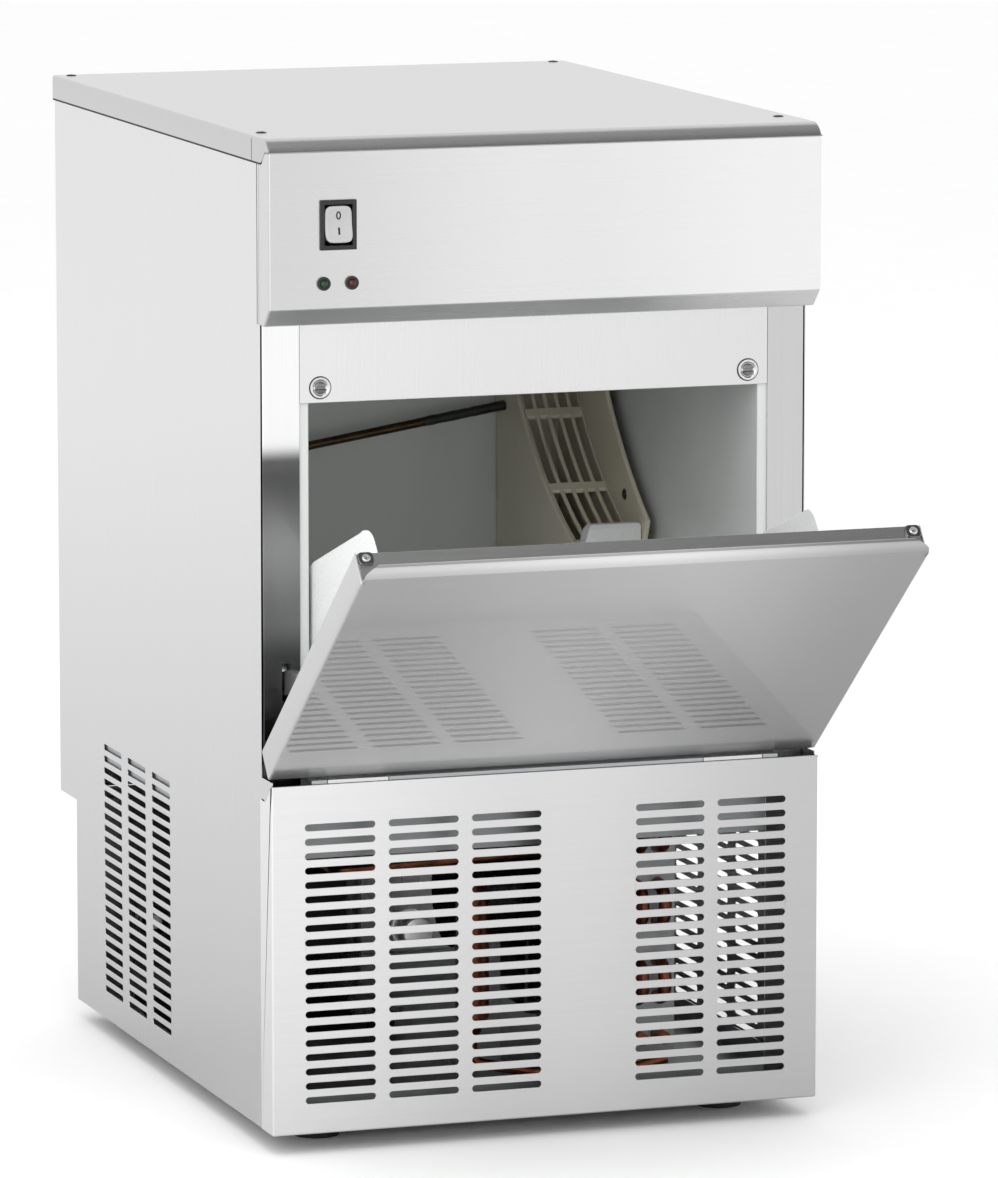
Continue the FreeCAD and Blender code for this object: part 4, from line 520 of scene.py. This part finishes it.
def door_end(side):
    """End return of the door: a flat plate whose outline is rounded where it meets the face.

    The outline is carried through the sheet's thickness: outside, a slightly smaller outside ring
    for the rolled fold, and the inside ring.
    """
    fold = 1.3
    turn = np.linspace(0, math.pi / 2, 7)
    back = np.concatenate([[DOOR_BACK], DOOR_FACE + fold * (1 - np.sin(turn)),
                           [DOOR_FACE, DOOR_FACE + 4, DOOR_BACK]])
    up = np.concatenate([[DOOR_FOOT], DOOR_FOOT + fold * (1 - np.cos(turn)),
                         [DOOR_TOP - 0.4, DOOR_TOP + 0.2, DOOR_TOP + 0.2]])
    middle_back, middle_up = back.mean(), up.mean()
    rings = ((DOOR_HALF - 1.0, 0.0), (DOOR_HALF - 0.35, 0.15), (DOOR_HALF, 0.9))
    layers = []
    for x, inset in rings:
        pull_back = back + np.clip(middle_back - back, -1, 1) * inset
        pull_up = up + np.clip(middle_up - up, -1, 1) * inset * 0.3
        layers.append(door_point(side * x, pull_back, pull_up))
    flat_outside = door_point(side * DOOR_HALF, middle_back + 0 * back, middle_up + 0 * up)
    flat_inside = door_point(side * (DOOR_HALF - 1.0), middle_back + 0 * back, middle_up + 0 * up)
    points = np.stack([flat_inside, *layers, flat_outside])
    return points.reshape(-1, 3), grid_faces(points.shape[0], points.shape[1])


skin = finish_piece("door_skin_formed", *door_sheet(), "door", steel_door, "satin_stainless",
                    stands_for=["door_skin"])
wall = skin.modifiers.new("Sheet thickness", "SOLIDIFY")
wall.thickness = SHEET
wall.offset = -1
keep_flat(skin)
for side, name in ((-1, "left"), (1, "right")):
    keep_flat(finish_piece(f"door_end_{name}", *door_end(side), "door", steel_across,
                           "satin_stainless"))


def low_plate(middle, half, corner, base, top, rim):
    """Flat plate on the door: rings of a rounded rectangle, from the middle out and down.

    An outline is quarter circles of the corner's radius about four centres, which the signs of the
    cosine and the sine choose; the top's rim turns over a quarter circle.
    """
    angle = (np.arange(72) + 0.5)[None, :] * TAU / 72
    turn = np.linspace(0, math.pi / 2, 5)
    inset = np.concatenate([[rim + 0.3], rim * (1 - np.sin(turn)), [0]])[:, None]
    height = np.concatenate([[top], top - rim * (1 - np.cos(turn)), [base]])[:, None]
    outline_x = (half[0] - corner) * np.sign(np.cos(angle)) + (corner - inset) * np.cos(angle)
    outline_y = (half[1] - corner) * np.sign(np.sin(angle)) + (corner - inset) * np.sin(angle)
    zero = 0 * angle
    x = middle[0] + np.concatenate([zero, outline_x, zero])
    back = middle[1] + np.concatenate([zero, outline_y, zero])
    up = np.concatenate([zero + top, height + zero, zero + base])
    return door_point(x, back, up).reshape(-1, 3), grid_faces(*x.shape)


keep_flat(finish_piece("door_top_plate_formed",
                       *low_plate((0, 4.4), (168.8, 9.6), 1.5, 220.7, 221.7, 0.3), "door",
                       steel_plate, "satin_stainless", stands_for=["door_top_plate"]))

# Screws that hold the top plate: small pan heads with a crossed recess, each on a raised pad.
for side, name in ((-1, "left"), (1, "right")):
    finish_piece(f"door_corner_pad_{name}",
                 *low_plate((side * PAD_X, PAD_BACK), (4.6, 4.1), 2.6, 221.7, 223.4, 0.5), "door",
                 steel_slotted, "satin_stainless")
    seat = door_point(side * PAD_X, PAD_BACK, 223.35)
    up_door = door_point(0, 0, 1) - door_point(0, 0, 0)
    finish_piece(f"door_screw_{name}", *screw_head(seat, up_door, 2.6 * MM, 1.2 * MM, 2, 1.2 * MM,
                                                   skirt=0.05 * MM),
                 "door", steel_screw, "satin_stainless",
                 stands_for=["door_screws"] if side < 0 else [])


# ---- lid ----------------------------------------------------------------------------------------------

LID_HALF = 170
LID_TOP = 596
LID_BACK = 458
LID_FLANGE = 581.4         # lower edge of the side and back flanges


def lid_sheet():
    """Lid as one surface: a profile from the nose back, carried across and down both sides.

    The nose is an arc of radius 13 mm from 25 degrees above level up to the flat top. Across, a
    station on the top keeps the profile's height; past the fold, which is a quarter circle of
    radius 1.2 mm, it runs down to the flange's lower edge. That edge is level, then rises in a
    straight slant to the nose, and is never above the profile itself.
    """
    radius, low_tilt, fold = 13.0, math.radians(25), 1.2
    tilt = np.linspace(low_tilt, math.pi / 2, 26)
    nose_y = radius * (math.cos(low_tilt) - np.cos(tilt))
    nose_z = LID_TOP - radius * (1 - np.sin(tilt))
    turn = np.linspace(0, math.pi / 2, 7)
    y = np.concatenate([[1.2, 0.1], nose_y, [16, 40, LID_BACK - 20],
                        LID_BACK - fold * (1 - np.sin(turn)), [LID_BACK]])
    z = np.concatenate([[LID_TOP - 7.9, LID_TOP - 7.9], nose_z, [LID_TOP] * 3,
                        LID_TOP - fold * (1 - np.cos(turn)), [LID_FLANGE]])
    y, z = y[:, None], z[:, None]
    slant = np.interp(y, [0, 7, 14, LID_BACK], [588.5, 588.5, LID_FLANGE, LID_FLANGE])
    lower = np.minimum(slant, z - 0.01)
    bend = np.minimum(fold, z - lower)
    bent = np.concatenate([np.zeros(1), turn])[None, :]
    top_x = np.linspace(0, LID_HALF - 6, 8)[None, :]
    x = np.concatenate([top_x + 0 * y, LID_HALF - bend * (1 - np.sin(bent)),
                        LID_HALF + 0 * y], axis=1)
    height = np.concatenate([z + 0 * top_x, z - bend * (1 - np.cos(bent)), lower], axis=1)
    x = np.concatenate([-x[:, ::-1], x], axis=1)
    height = np.concatenate([height[:, ::-1], height], axis=1)
    depth = y + 0 * x
    return cabinet_point(x, depth, height).reshape(-1, 3), grid_faces(*x.shape,
                                                                      wrap_columns=False)


lid = finish_piece("top_cover_formed", *lid_sheet(), "cabinet", steel_lid, "satin_stainless",
                   stands_for=["top_cover"])
lid_wall = lid.modifiers.new("Sheet thickness", "SOLIDIFY")
lid_wall.thickness = SHEET
lid_wall.offset = -1
keep_flat(lid)


def seam(side, path, half_width):
    """Dark strip in a side seam, painted shade of the gap there: a low half-ellipse section carried
    along a straight path.

    path holds two (depth, height) places in mm. The strip stands 0.12 mm proud of the side.
    """
    (depth0, height0), (depth1, height1) = path
    length = math.hypot(depth1 - depth0, height1 - height0)
    turn = np.linspace(0, TAU, 10, endpoint=False)[None, :]
    along = np.array([0, 0, 1, 1])[:, None]
    size = np.array([0.0, 1.0, 1.0, 0.0])[:, None]
    out = 0.12 * np.sin(turn) * size
    off = half_width * np.cos(turn) * size
    depth = depth0 + (depth1 - depth0) * along - (height1 - height0) / length * off
    height = height0 + (height1 - height0) * along + (depth1 - depth0) / length * off
    points = cabinet_point(side * (LID_HALF + out), depth, height)
    faces = grid_faces(*depth.shape)
    return points.reshape(-1, 3), faces if side < 0 else [face[::-1] for face in faces]


# Painted shade: dark strips along the gap under each side flange of the lid and down each flap's seam.
for side, name in ((-1, "left"), (1, "right")):
    finish_piece(f"lid_gap_shade_{name}", *seam(side, ((15, 581.0), (457, 581.0)), 0.55), "cabinet",
                 rubber, "rubber")
    finish_piece(f"lid_flap_gap_shade_{name}", *seam(side, ((33, 581.4), (33, 594.4)), 0.24), "cabinet",
                 rubber, "rubber")


# ---- rail: slotted screws in cupped washers --------------------------------------------------------

RAIL_FRONT = 22            # front of the rail, in mm behind the control panel's face
RAIL_SCREW_X = 132.4
RAIL_SCREW_Z = 449
for side, name in ((-1, "left"), (1, "right")):
    seat = cabinet_point(side * RAIL_SCREW_X, RAIL_FRONT, RAIL_SCREW_Z)
    forward = (0, -1, 0)
    cup = np.array([(0, 0.02), (6.25, 0.02), (6.25, 0.5), (6.05, 0.95), (5.6, 1.1), (5.0, 0.95),
                    (4.4, 0.6), (4.1, 0.35), (0, 0.3)]) * MM
    finish_piece(f"rail_washer_{name}", *turned(cup, seat, forward, 72), "cabinet", steel_screw,
                 "satin_stainless", stands_for=["rail_screw_washers"] if side < 0 else [])
    # A thin black ring round each washer's rim.
    dark_rim_ring = np.array([(6.3, 0.02), (6.75, 0.02), (6.78, 0.2), (6.7, 0.34), (6.3, 0.4), (6.3, 0.02)])
    finish_piece(f"rail_washer_dark_rim_{name}", *turned(dark_rim_ring * MM, seat, forward, 72), "cabinet",
                 black_plastic, "black_plastic")
    head_seat = cabinet_point(side * RAIL_SCREW_X, RAIL_FRONT - 0.4, RAIL_SCREW_Z)
    finish_piece(f"rail_screw_{name}",
                 *screw_head(head_seat, forward, 3.9 * MM, 2.0 * MM, 1, 1.7 * MM, spin=0.02,
                             skirt=0.3 * MM),
                 "cabinet", steel_slotted, "satin_stainless",
                 stands_for=["rail_screws"] if side < 0 else [])

# Lid screws: low phosphated heads with a crossed recess.
for number, (x, depth) in enumerate(((-160, 46), (160, 46), (-160, 450), (160, 450))):
    seat = cabinet_point(x, depth, 596)
    finish_piece(f"lid_screw_{number + 1}",
                 *screw_head(seat, (0, 0, 1), 3.3 * MM, 0.7 * MM, 2, 1.0 * MM, spin=0.4 * number),
                 "cabinet", black_screw, "black_screw",
                 stands_for=["top_cover_screws"] if number == 0 else [])


# ---- switch and lamps -------------------------------------------------------------------------------

SWITCH_X = -128.2          # middle of the rocker
SWITCH_Z = 546
ROCKER_SLOPE = 0.285       # how fast the lower half of its face leans out


def rocker_cap():
    """Rocker's face: rings of a rounded rectangle, from its middle out and down its sides.

    A ring's outline is a superellipse of exponent 5. Its height is a shallow dish inside, a
    rounded rim, then the side wall. The face is bent along its length by the rocker's two slopes:
    one falls away as the absolute height from the middle, smoothed at the ridge. The whole is
    sheared by 8 degrees, the rocker's tilt at rest, so it clears the bezel when it is pressed.
    """
    angle = np.linspace(0, TAU, 96, endpoint=False)[None, :]
    ring = np.array([0, 0.25, 0.5, 0.68, 0.74, 0.8, 0.88, 0.95, 0.985, 1.0, 0.98, 0.9, 0])[:, None]
    rise = np.array([-0.35, -0.35, -0.34, -0.3, -0.18, -0.05, 0, -0.12, -0.4, -0.9, -2.5, -5,
                     -5])[:, None]
    power = 2 / 5
    x = 8.2 * ring * np.sign(np.cos(angle)) * np.abs(np.cos(angle)) ** power
    z = 10.8 * ring * np.sign(np.sin(angle)) * np.abs(np.sin(angle)) ** power
    bend = ROCKER_SLOPE * (np.sqrt(z ** 2 + 4) - z) / 2
    front = 1.35 + bend + rise
    across = SWITCH_X + x
    depth = 0 - front
    z = z + 0.139 * (front + 2.5) - 0.2
    return cabinet_point(across, depth, SWITCH_Z + z).reshape(-1, 3), grid_faces(*x.shape)


def mark_ring(centre_z, half_x, half_z, stroke, depth):
    """A flat oval ring: two ovals a stroke apart, each a cosine and a sine of the same angle."""
    angle = np.linspace(0, TAU, 40, endpoint=False)[None, :]
    size = np.array([0, stroke, stroke, 0, 0])[:, None]
    out = np.array([-0.02, -0.02, 0.1, 0.1, -0.02])[:, None]
    x = SWITCH_X + (half_x - size) * np.cos(angle)
    z = centre_z + (half_z - size) * np.sin(angle)
    return cabinet_point(x, depth - out, z).reshape(-1, 3), grid_faces(*x.shape)


def face_depth(z):
    """How far before the control panel the rocker's dished face stands at a height, in mm."""
    from_middle = z - SWITCH_Z - 0.3
    return -(1.35 + ROCKER_SLOPE * (math.sqrt(from_middle ** 2 + 4) - from_middle) / 2 - 0.34)


finish_piece("switch_rocker_cap", *rocker_cap(), "rocker", rocker_plastic, "rocker_plastic",
             stands_for=["switch_rocker"])
finish_piece("switch_mark_off", *mark_ring(551.5, 1.5, 2.4, 0.8, face_depth(551.5)),
             "rocker", ink, "black_plastic", smooth=False)
bar_z = np.array([540.4, 544.6])
bar = np.array([[cabinet_point(SWITCH_X + x, face_depth(z) - out, z) for x, out in
                 ((-0.55, -0.02), (-0.55, 0.1), (0.55, 0.1), (0.55, -0.02))] for z in bar_z])
caps = [[0, 1, 2, 3], [4, 5, 6, 7]]
finish_piece("switch_mark_on", bar.reshape(-1, 3), grid_faces(2, 4) + caps, "rocker", ink,
             "black_plastic", smooth=False)


# ---- thermostat: tube with rolled grooves, black shrink sleeve ---------------------------------------

def swollen_tube(start, end, radius_at, steps, sides=24):
    """A straight tube whose radius is a function of the distance along it, closed at both ends."""
    start, end = np.asarray(start, float), np.asarray(end, float)
    length = np.linalg.norm(end - start)
    along = np.linspace(0, length, steps)
    radius = radius_at(along)
    profile = np.stack([np.concatenate([[0], radius, [0]]),
                        np.concatenate([[0], along, [length]])], axis=1)
    return turned(profile, start, end - start, sides)


tube_start = cabinet_point(-138.7, 335, 355.9)
tube_end = cabinet_point(87.7, 335, 391.6)
tube_run = np.linalg.norm(tube_end - tube_start)
groove_places = np.array([0.03, 0.29, 0.33]) * tube_run


def grooved(along):
    """Radius 2.5 mm, growing by 0.5 mm along the run, less narrow bell-shaped grooves."""
    dips = np.exp(-((along[:, None] - groove_places[None, :]) / (0.8 * MM)) ** 2).sum(axis=1)
    return (2.5 + 0.5 * along / tube_run - 0.6 * np.clip(dips, 0, 1)) * MM


finish_piece("thermostat_tube_grooved", *swollen_tube(tube_start, tube_end, grooved, 420),
             "cabinet", dark_brass, "dark_brass", stands_for=["thermostat_tube"])
sleeve_start = tube_start + (tube_end - tube_start) * 0.76


def sleeve_radius(along):
    """Radius 3.2 mm at most with shallow uneven waves, narrowing to the tube at its free end."""
    waves = 0.10 * np.sin(along / (2.6 * MM)) + 0.06 * np.sin(along / (1.1 * MM) + 1)
    mouth = np.clip(along / (5 * MM), 0, 1)
    return (2.75 + 0.4 * mouth + waves * mouth) * MM


finish_piece("thermostat_sleeve_shrunk", *swollen_tube(sleeve_start, tube_end, sleeve_radius, 160),
             "cabinet", black_plastic, "black_plastic", stands_for=["thermostat_sleeve"])

# Sensor in the chute's right wall: a black bushing with a rim and a sunk middle.
bushing = np.array([(0, -0.6), (1.5, -0.6), (1.9, 0.1), (2.3, 0.55), (2.9, 0.6), (3.4, 0.35),
                    (3.6, 0), (3.6, -0.4), (0, -0.5)]) * MM
finish_piece("chute_sensor_bushing", *turned(bushing, cabinet_point(129, 227, 347.5), (-1, 0, 0)),
             "cabinet", black_plastic, "black_plastic")


# ---- camera, floor and light -----------------------------------------------------------------------

CAMERA_AZIMUTH = math.radians(-18.86)
CAMERA_PITCH = math.radians(8.71)
CAMERA_TARGET = Vector((-0.0303, -0.1397, 0.3291))
CAMERA_DISTANCE = 4.559

back = Vector((math.sin(CAMERA_AZIMUTH) * math.cos(CAMERA_PITCH),
               -math.cos(CAMERA_AZIMUTH) * math.cos(CAMERA_PITCH), math.sin(CAMERA_PITCH)))
lens = bpy.data.cameras.new("front_camera")
lens.lens = 238.7
lens.sensor_width = 36
lens.clip_end = 100
camera = bpy.data.objects.new("front_camera", lens)
bpy.context.scene.collection.objects.link(camera)
camera.location = CAMERA_TARGET + back * CAMERA_DISTANCE
camera.rotation_euler = (-back).to_track_quat("-Z", "Y").to_euler()
bpy.context.scene.camera = camera

floor_mesh = bpy.data.meshes.new("floor")
floor_mesh.from_pydata([(-12, -12, 0), (12, -12, 0), (12, 12, 0), (-12, 12, 0)], [], [(0, 1, 2, 3)])
floor = bpy.data.objects.new("floor", floor_mesh)
bpy.context.scene.collection.objects.link(floor)
# Pale painted board: nearly white, matt, with the faintest mottle.
floor_mesh.materials.append(moulded("pale_painted_board", "#f8f8f8", "#f7f7f7", 0.8, 4.0, lump=1e-8))

world = bpy.data.worlds.new("studio")
bpy.context.scene.world = world
world.use_nodes = True
world.node_tree.nodes["Background"].inputs["Color"].default_value = (1, 1, 1, 1)
world.node_tree.nodes["Background"].inputs["Strength"].default_value = 1.04
bpy.context.scene.view_settings.view_transform = "Standard"


def flag(name, corners, height, finish):
    """A cloth that only glossy reflections meet, not the camera, the soft light or the shadows."""
    mesh = bpy.data.meshes.new(name)
    (x0, y0), (x1, y1) = corners
    mesh.from_pydata([(x0, y0, height), (x1, y0, height), (x1, y1, height), (x0, y1, height)], [],
                     [(0, 1, 2, 3)])
    cloth = bpy.data.objects.new(name, mesh)
    bpy.context.scene.collection.objects.link(cloth)
    mesh.materials.append(finish)
    cloth.visible_camera = False
    cloth.visible_diffuse = False
    cloth.visible_shadow = False


# Grey cloth under the machine, paler further out: its albedo grows with the distance. It is
# painted shade, the floor's darkening near the machine as the metal sheets mirror it.
floor_cloth, cloth_tree, cloth_shader = new_finish("floor_shade_painted_cloth", Roughness=0.95)
cloth_place = add_node(cloth_tree, "ShaderNodeTexCoord")
cloth_reach = add_node(cloth_tree, "ShaderNodeVectorMath", {"operation": "LENGTH"},
                       {0: cloth_place.outputs["Object"]})
cloth_fade = add_node(cloth_tree, "ShaderNodeMapRange",
                      sockets={"Value": cloth_reach.outputs["Value"], "From Min": 0.4,
                               "From Max": 3.3})
cloth_tint = add_node(cloth_tree, "ShaderNodeMix", {"data_type": "RGBA"},
                      {0: cloth_fade.outputs["Result"], 6: linear("#c6c6c6"), 7: linear("#fafafa")})
cloth_tree.links.new(cloth_tint.outputs[2], cloth_shader.inputs["Base Color"])
flag("floor_flag", ((-6, -6), (6, 6)), 0.0006, floor_cloth)
# Dark cloth overhead, paler to the back: what a rounded front edge mirrors as it turns up.
felt, felt_tree, felt_shader = new_finish("graded_dark_felt", Roughness=0.95)
felt_place = add_node(felt_tree, "ShaderNodeTexCoord")
felt_split = add_node(felt_tree, "ShaderNodeSeparateXYZ", sockets={0: felt_place.outputs["Object"]})
felt_fade = add_node(felt_tree, "ShaderNodeMapRange",
                     sockets={"Value": felt_split.outputs["Y"], "From Min": -2.4,
                              "From Max": 0.9})
felt_tint = add_node(felt_tree, "ShaderNodeMix", {"data_type": "RGBA"},
                     {0: felt_fade.outputs["Result"], 6: linear("#262626"), 7: linear("#b0b0b0")})
felt_tree.links.new(felt_tint.outputs[2], felt_shader.inputs["Base Color"])
flag("ceiling_flag", ((-2.5, -2.6), (2.5, 0.9)), 2.4, felt)


def softbox(name, place, aim, size, watts):
    """A large square soft light at a place, turned to a point."""
    light = bpy.data.lights.new(name, "AREA")
    light.shape = "SQUARE"
    light.size = size
    light.energy = watts
    box = bpy.data.objects.new(name, light)
    bpy.context.scene.collection.objects.link(box)
    box.location = place
    box.rotation_euler = (Vector(place) - Vector(aim)).to_track_quat("Z", "Y").to_euler()


softbox("overhead_softbox", (-0.6, -0.9, 2.6), (0, 0, 0.3), 2.2, 26)
softbox("left_softbox", (-2.4, -2.6, 1.4), (0, -0.1, 0.35), 1.6, 18)
